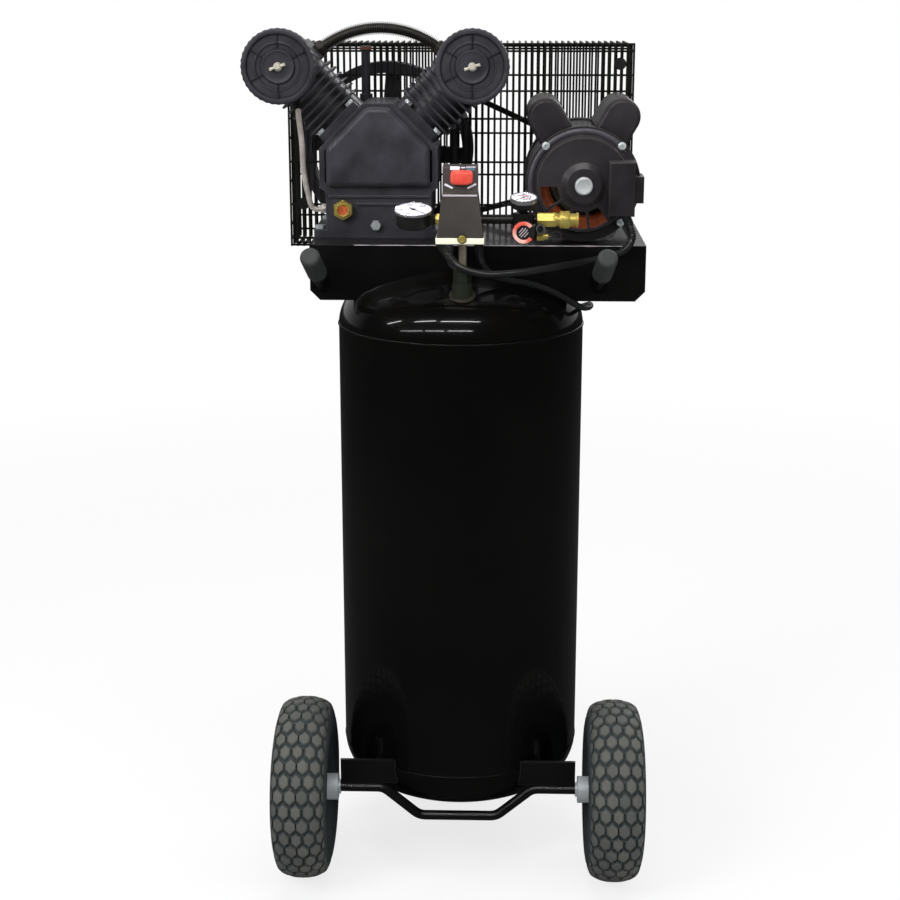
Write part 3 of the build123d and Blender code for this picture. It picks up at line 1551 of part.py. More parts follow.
# ---------------------------------------------------------------- cords
def cord_tube(name, points, radius):
    """A cord's tube, with its bend radii, length and volume printed."""
    path, radii = rounded_path(points, 1000)
    with BuildPart() as tube:
        with BuildSketch(Plane(path.line @ 0, z_dir=path.line % 0)):
            Circle(radius)
        sweep(path=path.line)
    length = sum(edge.length for edge in path.edges())
    print(name, "radii", [round(value) for value in radii], "length", round(length))
    print(name, "volume", round(tube.part.volume), "section x length", round(pi * radius**2 * length))
    return tube.part


# the motor's lead sags past the riser, lies over the right bar behind its grip and turns up
lead_route = [
    lead_start,
    (-11, -142, 916),
    (8, -147, 904),
    (34, -148, 898),
    (64, -145, 898),
    (106, -136, 902),
    (149, -113, 906.5),
    (184, -88, 908),
    (212, -76, 913),
    (236, -68, 922),
    (244, -62, 941),
    lead_end,
]
pieces["motor_lead"] = cord_tube("motor_lead", lead_route, lead_radius)

# the supply cord lies on the tank's head, goes under the lip, round the tank and down behind it
coil_x = 40.0
coil_y = 222.0
coil_middle = 5.5 * 2 * supply_radius
floor_z = supply_radius
supply_route = [
    supply_start,
    (27.5, -106, 916),
    (36, -104.5, 898),
    (51, -101, 886),
    (72, -96, 880.5),
    (98, -88, 876),
    (125, -81, 866),
    (148, -77, 854),
    (164, -73, 843),
    (176, -63, 837),
    (184, -46, 835),
    (188, -20, 833),
    (188, 18, 828),
    (180, 60, 817),
    (162, 98, 806),
    (140, 132, 786),
    (122, 152, 748),
    (112, 160, 680),
    (106, 162, 590),
    (103, 163, 480),
    (105, 162, 370),
    (107, 160, 260),
    (106, 159, 170),
    (105, 158, 110),
    (105, 158.5, 73),
    (104, 160, 41.4),
    (102, 173, 18),
    (98, 196, floor_z),
    (coil_x + coil_middle + 2, coil_y - 1, floor_z),
]
pieces["supply_cord"] = cord_tube("supply_cord", supply_route, supply_radius)

# the length put away is a flat round coil, two turns wide and two turns high
with BuildPart() as cord_coil:
    with BuildSketch(level(0)):
        with Locations((coil_x, coil_y)):
            Circle(coil_middle + 2 * supply_radius)
            Circle(coil_middle - 2 * supply_radius, mode=Mode.SUBTRACT)
    extrude(amount=4 * supply_radius)
pieces["cord_coil"] = cord_coil.part

plug_y = coil_y + coil_middle
plug_z = 12.0
relief_x = coil_x - 36
plug_x = relief_x - 14
with BuildPart() as cord_plug:
    with BuildSketch(side_plane(relief_x, plug_y, plug_z)):
        Circle(supply_radius + 1)
    extrude(amount=plug_x - relief_x)
    with BuildSketch(side_plane(plug_x, plug_y, plug_z)):
        RectangleRounded(21, 24, 8)
    extrude(amount=-30)
    with BuildSketch(side_plane(plug_x - 30, plug_y, plug_z)):
        with Locations((-6.35, 4), (6.35, 4)):
            Rectangle(1.6, 6.4)
        with Locations((0, -7)):
            Circle(2.4)
    extrude(amount=-16)
pieces["cord_plug"] = cord_plug.part

# ---------------------------------------------------------------- save
# the origin goes to the middle of the whole machine's footprint, on the ground
boxes = [piece.bounding_box() for piece in pieces.values()]
middle_x = (min(box.min.X for box in boxes) + max(box.max.X for box in boxes)) / 2
middle_y = (min(box.min.Y for box in boxes) + max(box.max.Y for box in boxes)) / 2
print("files", len(pieces), "middle", round(middle_x, 3), round(middle_y, 3))
os.makedirs("parts", exist_ok=True)
for name, piece in pieces.items():
    placed = piece.moved(Location((-middle_x, -middle_y, 0)))
    placed.label = name
    export_step(placed, f"parts/{name}.step")
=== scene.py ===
import json
import math

import bmesh
import bpy
import numpy as np
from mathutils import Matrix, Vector


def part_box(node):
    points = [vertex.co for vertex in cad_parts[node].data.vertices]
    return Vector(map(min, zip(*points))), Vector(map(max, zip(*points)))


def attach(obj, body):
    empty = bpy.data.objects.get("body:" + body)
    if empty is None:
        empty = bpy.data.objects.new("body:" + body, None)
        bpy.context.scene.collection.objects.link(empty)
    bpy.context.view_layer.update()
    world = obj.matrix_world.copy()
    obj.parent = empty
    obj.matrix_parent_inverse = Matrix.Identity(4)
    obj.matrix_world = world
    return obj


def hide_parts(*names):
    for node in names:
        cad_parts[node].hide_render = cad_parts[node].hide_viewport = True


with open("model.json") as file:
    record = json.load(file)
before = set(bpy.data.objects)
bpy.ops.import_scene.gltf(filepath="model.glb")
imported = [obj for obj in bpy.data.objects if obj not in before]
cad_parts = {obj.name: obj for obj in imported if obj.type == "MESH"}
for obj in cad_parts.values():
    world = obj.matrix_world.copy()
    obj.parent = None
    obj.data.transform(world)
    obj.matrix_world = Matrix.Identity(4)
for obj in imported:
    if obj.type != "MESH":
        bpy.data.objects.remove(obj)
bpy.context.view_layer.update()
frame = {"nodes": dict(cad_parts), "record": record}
bodyOf = {node: body for body, nodes in frame["record"]["behaviour"]["bodies"].items() for node in nodes}
mm = 0.001
forward = np.array([0.0, -1.0, 0.0])
print("frame loaded,", len(frame["nodes"]), "nodes")


# places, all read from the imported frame, in metres

def low(node):
    return np.array(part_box(node)[0])


def high(node):
    return np.array(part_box(node)[1])


def middle(node):
    return (low(node) + high(node)) / 2


def spot(x, y, z):
    # a place given in millimetres from the tank's axis, on the ground
    return np.array([middle("tank_shell")[0] + x * mm, y * mm, z * mm])


# meshes worked out with numpy

def quads(rows, cols, ringRows, ringCols):
    # joins each grid point to the next row and the next column, round again where a direction is a ring
    i, j = np.meshgrid(np.arange(rows - 1 + ringRows), np.arange(cols - 1 + ringCols), indexing="ij")
    nextI, nextJ = (i + 1) % rows, (j + 1) % cols
    corners = [i * cols + j, nextI * cols + j, nextI * cols + nextJ, i * cols + nextJ]
    return np.stack(corners, -1).reshape(-1, 4)


def unit(vector):
    vector = np.asarray(vector, float)
    return vector / np.linalg.norm(vector, axis=-1, keepdims=True)


def turned(profile, centre, axis, count=48):
    # a profile of (radius, distance along the axis), in millimetres, spun round the axis
    profile, axis = np.asarray(profile, float) * mm, unit(axis)
    first = unit(np.cross(axis, (0.0, 0.0, 1.0) if abs(axis[2]) < 0.9 else (0.0, 1.0, 0.0)))
    angle = np.linspace(0, 2 * math.pi, count, endpoint=False)[:, None]
    radial = np.cos(angle) * first + np.sin(angle) * np.cross(axis, first)
    return np.asarray(centre) + profile[:, None, :1] * radial + profile[:, None, 1:] * axis, False, True


def turnedRing(profile, centre, axis, count=48):
    # a profile that closes on itself, spun into a hollow ring
    return turned(profile, centre, axis, count)[0], True, True


def circle(count):
    # a round outline with a radius of one, to be scaled
    angle = np.linspace(0, 2 * math.pi, count, endpoint=False)
    return np.stack([np.cos(angle), np.sin(angle)], 1)


def ring(radius, count):
    return circle(count) * radius * mm


def along(path, shape, up=(0.0, 0.0, 1.0), closed=False):
    # carries a flat shape along a path: side = direction x up, over = side x direction
    path = np.asarray(path, float)
    ahead = np.roll(path, -1, 0) - np.roll(path, 1, 0)
    if not closed:
        ahead[0], ahead[-1] = path[1] - path[0], path[-1] - path[-2]
    ahead = unit(ahead)
    side = unit(np.cross(ahead, up))
    over = np.cross(side, ahead)
    if np.ndim(shape) == 2:
        shape = np.broadcast_to(shape, (len(path), *np.shape(shape)))
    return path[:, None] + shape[..., :1] * side[:, None] + shape[..., 1:] * over[:, None], closed, True


def smoothPath(places, count=80):
    # a curve through the given places: each stretch is a cubic that keeps the direction of its neighbours
    places = np.asarray(places, float)
    slope = np.gradient(places, axis=0)
    t = np.linspace(0, len(places) - 1, count)
    k = np.minimum(t.astype(int), len(places) - 2)
    f = (t - k)[:, None]
    a, b, m, n = places[k], places[k + 1], slope[k], slope[k + 1]
    start, leave = 2 * f**3 - 3 * f**2 + 1, f**3 - 2 * f**2 + f
    end, arrive = 3 * f**2 - 2 * f**3, f**3 - f**2
    return start * a + leave * m + end * b + arrive * n


def travelled(path):
    # how far along a path each of its points lies
    steps = np.linalg.norm(np.diff(path, axis=0), axis=1)
    return np.concatenate([[0], np.cumsum(steps)])


def capped(grid):
    # closes both ends of a carried shape with a point at each end's middle
    points = grid[0]
    first = np.repeat(points[:1].mean(1, keepdims=True), points.shape[1], 1)
    last = np.repeat(points[-1:].mean(1, keepdims=True), points.shape[1], 1)
    return np.concatenate([first, points, last]), False, True


def piece(name, grids, look, sharp=35, body="machine", replaces=(), mask=None):
    # grids are (points, ringRows, ringCols); together they become one smooth piece that rides on a body
    points = np.concatenate([grid.reshape(-1, 3) for grid, ringRows, ringCols in grids])
    starts = np.cumsum([0] + [grid.shape[0] * grid.shape[1] for grid, ringRows, ringCols in grids])
    faces = np.concatenate([
        quads(grid.shape[0], grid.shape[1], ringRows, ringCols) + start
        for (grid, ringRows, ringCols), start in zip(grids, starts)
    ])
    mesh = bpy.data.meshes.new(name)
    mesh.from_pydata(points.tolist(), [], faces.tolist())
    if mask is not None:
        mesh.attributes.new("mask", "FLOAT", "POINT").data.foreach_set("value", mask.ravel())
    obj = bpy.data.objects.new(name, mesh)
    bpy.context.collection.objects.link(obj)
    tidyMesh(mesh)
    return dress(obj, look, body, replaces, sharp)


def tidyMesh(mesh):
    # closes poles and seams, then turns every face outwards
    bm = bmesh.new()
    bm.from_mesh(mesh)
    bmesh.ops.remove_doubles(bm, verts=bm.verts, dist=1e-6)
    bmesh.ops.dissolve_degenerate(bm, edges=bm.edges, dist=1e-7)
    bmesh.ops.recalc_face_normals(bm, faces=bm.faces)
    bm.to_mesh(mesh)
    bm.free()


def dress(obj, look, body, replaces=(), sharp=35):
    obj.data.shade_smooth()
    obj.data.set_sharp_from_angle(angle=math.radians(sharp))
    obj.data.materials.clear()
    obj.data.materials.append(finishes[look])
    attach(obj, body)
    if replaces:
        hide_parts(*replaces)
    return obj


def softened(node, width, segments, look, angle=30):
    # a copy of a CAD node with its edges rounded, standing for that node
    source = frame["nodes"][node]
    mesh = source.data.copy()
    bm = bmesh.new()
    bm.from_mesh(mesh)
    bmesh.ops.remove_doubles(bm, verts=bm.verts, dist=2e-6)
    bmesh.ops.dissolve_limit(
        bm, angle_limit=math.radians(0.5), verts=bm.verts, edges=bm.edges, delimit={"NORMAL"}
    )
    bm.to_mesh(mesh)
    bm.free()
    obj = bpy.data.objects.new(node + "Soft", mesh)
    bpy.context.collection.objects.link(obj)
    bevel = obj.modifiers.new("edges", "BEVEL")
    bevel.width, bevel.segments = width * mm, segments
    bevel.limit_method, bevel.angle_limit = "ANGLE", math.radians(angle)
    bevel.harden_normals = True
    return dress(obj, look, bodyOf[node], (node,), 180)


# finishes: node groups shared by the materials

def shade(red, green, blue):
    # a colour written in screen values, made linear
    values = np.array([red, green, blue]) / 255
    return tuple(np.where(values <= 0.04045, values / 12.92, ((values + 0.055) / 1.055) ** 2.4)) + (1,)


def newGroup(name, inputs, outputs):
    # inputs are (name, kind, default) and outputs (name, kind)
    group = bpy.data.node_groups.new(name, "ShaderNodeTree")
    for socketName, kind, default in inputs:
        socket = group.interface.new_socket(socketName, in_out="INPUT", socket_type="NodeSocket" + kind)
        if default is not None:
            socket.default_value = default
    for socketName, kind in outputs:
        group.interface.new_socket(socketName, in_out="OUTPUT", socket_type="NodeSocket" + kind)
    return group, group.nodes.new("NodeGroupInput"), group.nodes.new("NodeGroupOutput")


def feed(tree, node, values):
    # each value is an output to link or a plain value to set
    for socket, value in values.items():
        if hasattr(value, "links"):
            tree.links.new(value, node.inputs[socket])
        else:
            node.inputs[socket].default_value = value
    return node.outputs


def mathNode(tree, operation, *values, clamp=False):
    node = tree.nodes.new("ShaderNodeMath")
    node.operation, node.use_clamp = operation, clamp
    return feed(tree, node, dict(enumerate(values)))[0]


def vectorNode(tree, operation, *values):
    node = tree.nodes.new("ShaderNodeVectorMath")
    node.operation = operation
    return feed(tree, node, dict(enumerate(values)))


def mixNode(tree, factor, first, second):
    node = tree.nodes.new("ShaderNodeMix")
    node.data_type = "RGBA"
    return feed(tree, node, {"Factor": factor, "A": first, "B": second})["Result"]


def noiseNode(tree, place, scale, detail=3.0, roughness=0.5):
    values = {"Vector": place, "Scale": scale, "Detail": detail, "Roughness": roughness}
    return feed(tree, tree.nodes.new("ShaderNodeTexNoise"), values)["Fac"]


def partsOf(tree, vector):
    return feed(tree, tree.nodes.new("ShaderNodeSeparateXYZ"), {0: vector})


def makeGrain():
    # fine skin of paint or a casting: two sizes of noise added up as a height
    group, source, result = newGroup(
        "grain",
        [("Place", "Vector", None), ("Scale", "Float", 400.0), ("Coarse", "Float", 0.4)],
        [("Height", "Float")],
    )
    place, scale = source.outputs["Place"], source.outputs["Scale"]
    fine = noiseNode(group, place, scale, 4.0)
    wide = noiseNode(group, place, mathNode(group, "MULTIPLY", scale, 0.13))
    feed(group, result, {"Height": mathNode(group, "MULTIPLY_ADD", wide, source.outputs["Coarse"], fine)})
    return group


def makeMottle():
    # slow blotches between two colours, with a patchy change of roughness
    group, source, result = newGroup(
        "mottle",
        [("Place", "Vector", None), ("Scale", "Float", 12.0),
         ("Base", "Color", None), ("Tint", "Color", None),
         ("Rough", "Float", 0.4), ("Spread", "Float", 0.1)],
        [("Color", "Color"), ("Roughness", "Float")],
    )
    given = source.outputs
    blotch = noiseNode(group, given["Place"], given["Scale"], 5.0, 0.6)
    ramp = group.nodes.new("ShaderNodeMapRange")
    share = feed(group, ramp, {"Value": blotch, "From Min": 0.35, "From Max": 0.68})[0]
    feed(group, result, {
        "Color": mixNode(group, share, given["Base"], given["Tint"]),
        "Roughness": mathNode(group, "MULTIPLY_ADD", share, given["Spread"], given["Rough"]),
    })
    return group


def makeDust():
    # dust lies on what faces up, thicker in patches
    group, source, result = newGroup(
        "dust",
        [("Place", "Vector", None), ("Amount", "Float", 0.2)],
        [("Mask", "Float")],
    )
    parts = partsOf(group, group.nodes.new("ShaderNodeNewGeometry").outputs["Normal"])
    upward = mathNode(group, "POWER", mathNode(group, "MAXIMUM", parts["Z"], 0.0), 2.0)
    patches = noiseNode(group, source.outputs["Place"], 35.0, 6.0, 0.65)
    thick = mathNode(group, "MULTIPLY", patches, source.outputs["Amount"])
    feed(group, result, {"Mask": mathNode(group, "MULTIPLY", upward, thick)})
    return group


def makeBrush():
    # turned or brushed metal: noise drawn out along two directions
    group, source, result = newGroup(
        "brush",
        [("Place", "Vector", None), ("Stretch", "Vector", (1.0, 1.0, 1.0))],
        [("Height", "Float")],
    )
    drawn = vectorNode(group, "MULTIPLY", source.outputs["Place"], source.outputs["Stretch"])
    feed(group, result, {"Height": noiseNode(group, drawn[0], 1.0)})
    return group


def makeEdges():
    # rounds the shading over a sharp edge and marks where that edge is, for wear
    group, source, result = newGroup(
        "edges", [("Radius", "Float", 0.0015), ("Sharpness", "Float", 9.0)],
        [("Normal", "Vector"), ("Mask", "Float")],
    )
    bevel = group.nodes.new("ShaderNodeBevel")
    bevel.samples = 4
    rounded = feed(group, bevel, {"Radius": source.outputs["Radius"]})[0]
    flat = group.nodes.new("ShaderNodeNewGeometry").outputs["Normal"]
    same = vectorNode(group, "DOT_PRODUCT", rounded, flat)["Value"]
    turnedAway = mathNode(group, "SUBTRACT", 1.0, same)
    mask = mathNode(group, "MULTIPLY", turnedAway, source.outputs["Sharpness"], clamp=True)
    feed(group, result, {"Normal": rounded, "Mask": mask})
    return group


groups = {
    "edges": makeEdges(), "grain": makeGrain(), "mottle": makeMottle(), "dust": makeDust(),
    "brush": makeBrush(),
}


def useGroup(tree, name, values):
    node = tree.nodes.new("ShaderNodeGroup")
    node.node_tree = groups[name]
    return feed(tree, node, values)


dustColour = (150, 146, 140)
plainLook = dict(patch=12.0, spread=0.08, metal=0.0, specular=0.5, coat=0.0, coatRough=0.05, grain=400.0,
    coarse=0.4, bump=0.15, relief=0.0006, wear=0.25, wornTo=(120, 118, 116))


def finish(name, look):
    # one material: blotched colour, dust on top, grain or brushing as a bump, and a plain coat
    look = dict(plainLook, **look)
    material = bpy.data.materials.new(name)
    material.use_nodes = True
    tree = material.node_tree
    shader = tree.nodes["Principled BSDF"]
    shader.inputs["Metallic"].default_value = look["metal"]
    place = tree.nodes.new("ShaderNodeTexCoord").outputs["Object"]
    tinted = useGroup(tree, "mottle", {
        "Place": place, "Scale": look["patch"], "Base": shade(*look["base"]), "Tint": shade(*look["tint"]),
        "Rough": look["rough"], "Spread": look["spread"],
    })
    colour, metal = tinted["Color"], look["metal"]
    if "second" in look:
        # the piece's own mask attribute brings in a second colour
        mask = tree.nodes.new("ShaderNodeAttribute")
        mask.attribute_name = "mask"
        colour = mixNode(tree, mask.outputs["Fac"], colour, shade(*look["second"]))
    if "zone" in look:
        zone = zoneMask(tree, place, look["zone"])
        colour = mixNode(tree, zone, colour, shade(*look["zoneColour"]))
        metal = mathNode(tree, "MULTIPLY_ADD", zone, look["zoneMetal"] - metal, metal)
    if "dust" in look:
        mask = useGroup(tree, "dust", {"Place": place, "Amount": look["dust"]})["Mask"]
        colour = mixNode(tree, mask, colour, shade(*dustColour))
    if "stretch" in look:
        height = useGroup(tree, "brush", {"Place": place, "Stretch": look["stretch"]})
    else:
        height = useGroup(tree, "grain", {"Place": place, "Scale": look["grain"], "Coarse": look["coarse"]})
    skin = {"Height": height["Height"], "Strength": look["bump"], "Distance": look["relief"]}
    if "edge" in look:
        edges = useGroup(tree, "edges", {"Radius": look["edge"] * mm})
        worn = mathNode(tree, "MULTIPLY", edges["Mask"], look["wear"])
        colour = mixNode(tree, worn, colour, shade(*look["wornTo"]))
        skin["Normal"] = edges["Normal"]
    feed(tree, shader, {
        "Base Color": colour, "Metallic": metal, "Roughness": tinted["Roughness"],
        "Normal": feed(tree, tree.nodes.new("ShaderNodeBump"), skin)["Normal"], "Coat Weight": look["coat"],
        "Coat Roughness": look["coatRough"], "Specular IOR Level": look["specular"],
    })
    return material


def zoneMask(tree, place, zone):
    # one value is a height to stay under, two are a span of x, three the (y, z, radius) of a line along x
    parts = partsOf(tree, place)
    if len(zone) == 1:
        return mathNode(tree, "LESS_THAN", parts["Z"], zone[0] * mm)
    if len(zone) == 2:
        first, last = spot(zone[0], 0, 0)[0], spot(zone[1], 0, 0)[0]
        return mathNode(tree, "COMPARE", parts["X"], float((first + last) / 2), float((last - first) / 2))
    up = mathNode(tree, "POWER", mathNode(tree, "SUBTRACT", parts["Z"], zone[1] * mm), 2.0)
    over = mathNode(tree, "POWER", mathNode(tree, "SUBTRACT", parts["Y"], zone[0] * mm), 2.0)
    return mathNode(tree, "LESS_THAN", mathNode(tree, "ADD", up, over), (zone[2] * mm) ** 2)


looks = {
    "tankEnamel": dict(base=(5, 5, 5), tint=(9, 8, 7), patch=4.0, rough=0.2, spread=0.05, specular=0.1,
        coat=0.6, coatRough=0.015, grain=120.0, bump=0.012, relief=0.0004),
    "frameCoat": dict(base=(8, 8, 8), tint=(13, 13, 12), rough=0.3, spread=0.1, specular=0.2, coat=0.35,
        coatRough=0.07, grain=700.0, bump=0.08, relief=0.0003, edge=1.6, wear=0.1),
    "wireCoat": dict(base=(14, 17, 12), tint=(24, 28, 20), rough=0.35, spread=0.1, specular=0.3, coat=0.3,
        coatRough=0.15, grain=600.0, relief=0.0002),
    "castPaint": dict(base=(40, 40, 46), tint=(58, 56, 64), patch=22.0, rough=0.4, spread=0.16, coat=0.3,
        coatRough=0.22, grain=420.0, coarse=0.9, bump=0.4, dust=0.06, edge=1.5, wear=0.3,
        wornTo=(120, 118, 128)),
    "motorPaint": dict(base=(30, 27, 29), tint=(44, 41, 44), patch=18.0, rough=0.38, spread=0.12,
        specular=0.4, coat=0.3, coatRough=0.2, grain=500.0, coarse=0.7, bump=0.3, relief=0.0005,
        dust=0.12, edge=1.4, wear=0.35, wornTo=(128, 122, 126)),
    # a paler copy of the motor's paint, for the painted highlight on the bell's rim
    "bellRimHighlight": dict(base=(58, 55, 62), tint=(76, 72, 80), patch=18.0, rough=0.34, coat=0.4, coatRough=0.2,
        grain=500.0, bump=0.25, relief=0.0004),
    "darkIron": dict(base=(60, 56, 50), tint=(84, 78, 68), rough=0.42, metal=0.7, bump=0.2),
    "pipeSteel": dict(base=(104, 97, 84), tint=(124, 116, 100), patch=60.0, rough=0.45, metal=0.2,
        bump=0.2, zone=(904,), zoneColour=(34, 38, 28), zoneMetal=0.2),
    "blankSteel": dict(base=(150, 150, 150), tint=(176, 176, 174), rough=0.28, metal=1.0,
        stretch=(60.0, 1500.0, 1500.0), bump=0.1, relief=0.0002),
    "axlePaint": dict(base=(10, 10, 10), tint=(17, 16, 15), rough=0.22, specular=0.3, coat=0.5,
        coatRough=0.1, grain=300.0, bump=0.1, relief=0.0003),
    "tubePaint": dict(base=(24, 26, 24), tint=(52, 44, 34), patch=55.0, rough=0.38, spread=0.15, coat=0.2,
        coatRough=0.3, grain=500.0, bump=0.25, relief=0.0004),
    "paleTube": dict(base=(164, 156, 150), tint=(196, 188, 182), second=(26, 25, 24), patch=60.0,
        rough=0.4, metal=0.35, grain=700.0, relief=0.0003),
    "rimPaint": dict(base=(14, 15, 15), tint=(22, 22, 23), rough=0.35, spread=0.1, specular=0.3, coat=0.3,
        coatRough=0.2, grain=500.0, relief=0.0003, dust=0.1, zone=(-150, 132.5, 20.5),
        zoneColour=(186, 192, 196), zoneMetal=0.3),
    "zinc": dict(base=(176, 182, 186), tint=(204, 208, 211), patch=60.0, rough=0.26, spread=0.12,
        metal=0.45, grain=900.0, bump=0.1, relief=0.0002, edge=0.8, wear=0.1),
    "wingSilver": dict(base=(196, 192, 176), tint=(216, 213, 200), patch=60.0, rough=0.32, metal=0.3,
        grain=900.0, bump=0.1, relief=0.0002),
    "galvanised": dict(base=(120, 122, 120), tint=(160, 162, 160), patch=140.0, rough=0.36, metal=0.6,
        grain=300.0, bump=0.12),
    "alloy": dict(base=(150, 147, 142), tint=(186, 182, 176), patch=40.0, rough=0.38, spread=0.1,
        metal=1.0, grain=900.0, relief=0.0002),
    "tyreRubber": dict(base=(34, 44, 46), tint=(42, 52, 54), second=(84, 84, 80), patch=90.0, rough=0.6,
        spread=0.15, grain=800.0, bump=0.35, relief=0.0005, dust=0.04),
    "gripRubber": dict(base=(44, 46, 46), tint=(58, 60, 60), rough=0.6, grain=900.0, bump=0.35,
        relief=0.0004, dust=0.1),
    "beltRubber": dict(base=(15, 15, 15), tint=(24, 23, 22), rough=0.6, grain=900.0, bump=0.3),
    "cordJacket": dict(base=(20, 22, 21), tint=(30, 33, 31), rough=0.34, spread=0.1, coat=0.4,
        coatRough=0.12, grain=900.0, relief=0.0002),
    # its second colour is painted shade in the cover's grooves
    "filterPlastic": dict(base=(40, 39, 46), tint=(54, 53, 60), second=(16, 16, 19), patch=30.0,
        rough=0.42, spread=0.1, grain=1100.0, bump=0.2, relief=0.0002, dust=0.08, edge=0.8, wear=0.2,
        wornTo=(110, 108, 118)),
    "blackPlastic": dict(base=(20, 20, 20), tint=(30, 30, 29), patch=30.0, rough=0.4, specular=0.4,
        grain=1200.0, bump=0.25, relief=0.0003),
    "switchPlastic": dict(base=(58, 53, 50), tint=(66, 61, 57), patch=40.0, rough=0.45, grain=1300.0,
        bump=0.4, relief=0.0004, dust=0.05, edge=1.2, wear=0.2, wornTo=(130, 124, 124)),
    # satinGrey: the regulator's bars, and painted highlights on the switch cover's ledge and the tray's front
    # edge
    "satinGrey": dict(base=(168, 160, 166), tint=(186, 178, 182), rough=0.4, grain=900.0),
    "creamPlastic": dict(base=(232, 230, 205), tint=(244, 243, 222), rough=0.4, grain=900.0),
    "redPlastic": dict(base=(206, 60, 44), tint=(222, 84, 66), patch=60.0, rough=0.38, coat=0.2,
        coatRough=0.2, grain=900.0, bump=0.2),
    "dialRing": dict(base=(214, 70, 56), tint=(224, 92, 76), second=(236, 196, 184), rough=0.4,
        grain=900.0, bump=0.1),
    "whiteMark": dict(base=(228, 226, 238), tint=(240, 240, 246), rough=0.4),
    "blueMark": dict(base=(70, 100, 120), tint=(92, 122, 140), rough=0.4),
    # flat black for the dial's print, the needles and the washer, and painted shade on the filter cover's
    # ribs
    "blackMark": dict(base=(20, 20, 22), tint=(28, 28, 30), rough=0.4),
    "brass": dict(base=(214, 190, 92), tint=(232, 212, 120), patch=50.0, rough=0.3, spread=0.1,
        metal=0.75, grain=900.0, bump=0.08, relief=0.0002),
    "brightSteel": dict(base=(188, 194, 196), tint=(214, 218, 220), patch=60.0, rough=0.34, metal=0.4,
        grain=700.0, bump=0.1, relief=0.0002, edge=0.8, wear=0.1),
    "capRed": dict(base=(104, 58, 48), tint=(128, 74, 60), rough=0.45, grain=700.0),
    "chrome": dict(base=(206, 208, 212), tint=(222, 224, 226), rough=0.2, spread=0.05, metal=0.9,
        grain=600.0, bump=0.03),
    "copper": dict(base=(176, 76, 40), tint=(226, 116, 60), patch=90.0, rough=0.35, metal=0.2,
        stretch=(900.0, 40.0, 900.0), bump=0.5, relief=0.001),
}
looks["fittings"] = dict(looks["brass"], zone=(20, 106.5), zoneColour=(22, 21, 20), zoneMetal=0.0)
finishes = {name: finish(name, look) for name, look in looks.items()}
print("finishes made,", len(finishes))


# camera and studio

studio = {
    "camera": (56.5, -2466.4, 1282.6), "pitch": 74.745, "roll": 0.0, "yaw": 1.68, "lens": 68.6,
    "ambient": 0.42, "room": 0.014, "behind": 0.5, "backwards": (1.6, -0.3), "floorGlow": 0.78,
    "floorFade": (0.5, -0.5), "floorTones": (0.8, 0.04),
}
eye = spot(*studio["camera"])
cameraData = bpy.data.cameras.new("viewpoint")
cameraData.lens, cameraData.sensor_width = studio["lens"], 36.0
camera = bpy.data.objects.new("viewpoint", cameraData)
camera.location = eye
camera.rotation_euler = [math.radians(studio[turn]) for turn in ("pitch", "roll", "yaw")]
bpy.context.collection.objects.link(camera)
scene = bpy.context.scene
scene.camera = camera
scene.view_settings.view_transform = "Standard"


def makeRoom():
    # white to the eye; to gloss and glass white only behind the object, and a dark room in front
    world = bpy.data.worlds.new("room")
    world.use_nodes = True
    tree = world.node_tree
    rays = tree.nodes.new("ShaderNodeLightPath").outputs
    parts = partsOf(tree, tree.nodes.new("ShaderNodeTexCoord").outputs["Generated"])
    behind = mathNode(tree, "MULTIPLY_ADD", parts["Y"], *studio["backwards"], clamp=True)
    shiny = mathNode(tree, "MAXIMUM", rays["Is Glossy Ray"], rays["Is Transmission Ray"])
    dimmed = mathNode(tree, "MULTIPLY_ADD", behind, studio["behind"], studio["room"])
    change = mathNode(tree, "SUBTRACT", dimmed, studio["ambient"])
    soft = mathNode(tree, "MULTIPLY_ADD", shiny, change, studio["ambient"])
    level = mathNode(tree, "MAXIMUM", soft, rays["Is Camera Ray"])
    feed(tree, tree.nodes["Background"], {"Color": (1, 1, 1, 1), "Strength": level})
    scene.world = world


def mattShader(tree, tone):
    return feed(tree, tree.nodes.new("ShaderNodeBsdfDiffuse"), {"Color": (tone, tone, tone, 1)})[0]


def mixShaders(tree, share, first, second):
    return feed(tree, tree.nodes.new("ShaderNodeMixShader"), {0: share, 1: first, 2: second})[0]


def makeFloor():
    # a pale floor that glows white to the eye and still takes the object's shadow
    mesh = bpy.data.meshes.new("floor")
    mesh.from_pydata([(-30, -30, 0), (30, -30, 0), (30, 60, 0), (-30, 60, 0)], [], [(0, 1, 2, 3)])
    floor = bpy.data.objects.new("floor", mesh)
    bpy.context.collection.objects.link(floor)
    material = bpy.data.materials.new("paleFloor")
    material.use_nodes = True
    tree = material.node_tree
    tree.nodes.remove(tree.nodes["Principled BSDF"])
    rays = tree.nodes.new("ShaderNodeLightPath").outputs
    away = vectorNode(tree, "LENGTH", tree.nodes.new("ShaderNodeTexCoord").outputs["Object"])["Value"]
    far = mathNode(tree, "MULTIPLY_ADD", away, *studio["floorFade"], clamp=True)
    glowing = mathNode(tree, "MULTIPLY_ADD", far, 1.0 - studio["floorGlow"], studio["floorGlow"])
    seen = mathNode(tree, "MULTIPLY", rays["Is Camera Ray"], glowing)
    pale, dark = [mattShader(tree, tone) for tone in studio["floorTones"]]
    matt = mixShaders(tree, rays["Is Glossy Ray"], pale, dark)
    glow = tree.nodes.new("ShaderNodeEmission").outputs[0]
    feed(tree, tree.nodes["Material Output"], {"Surface": mixShaders(tree, seen, matt, glow)})
    mesh.materials.append(material)


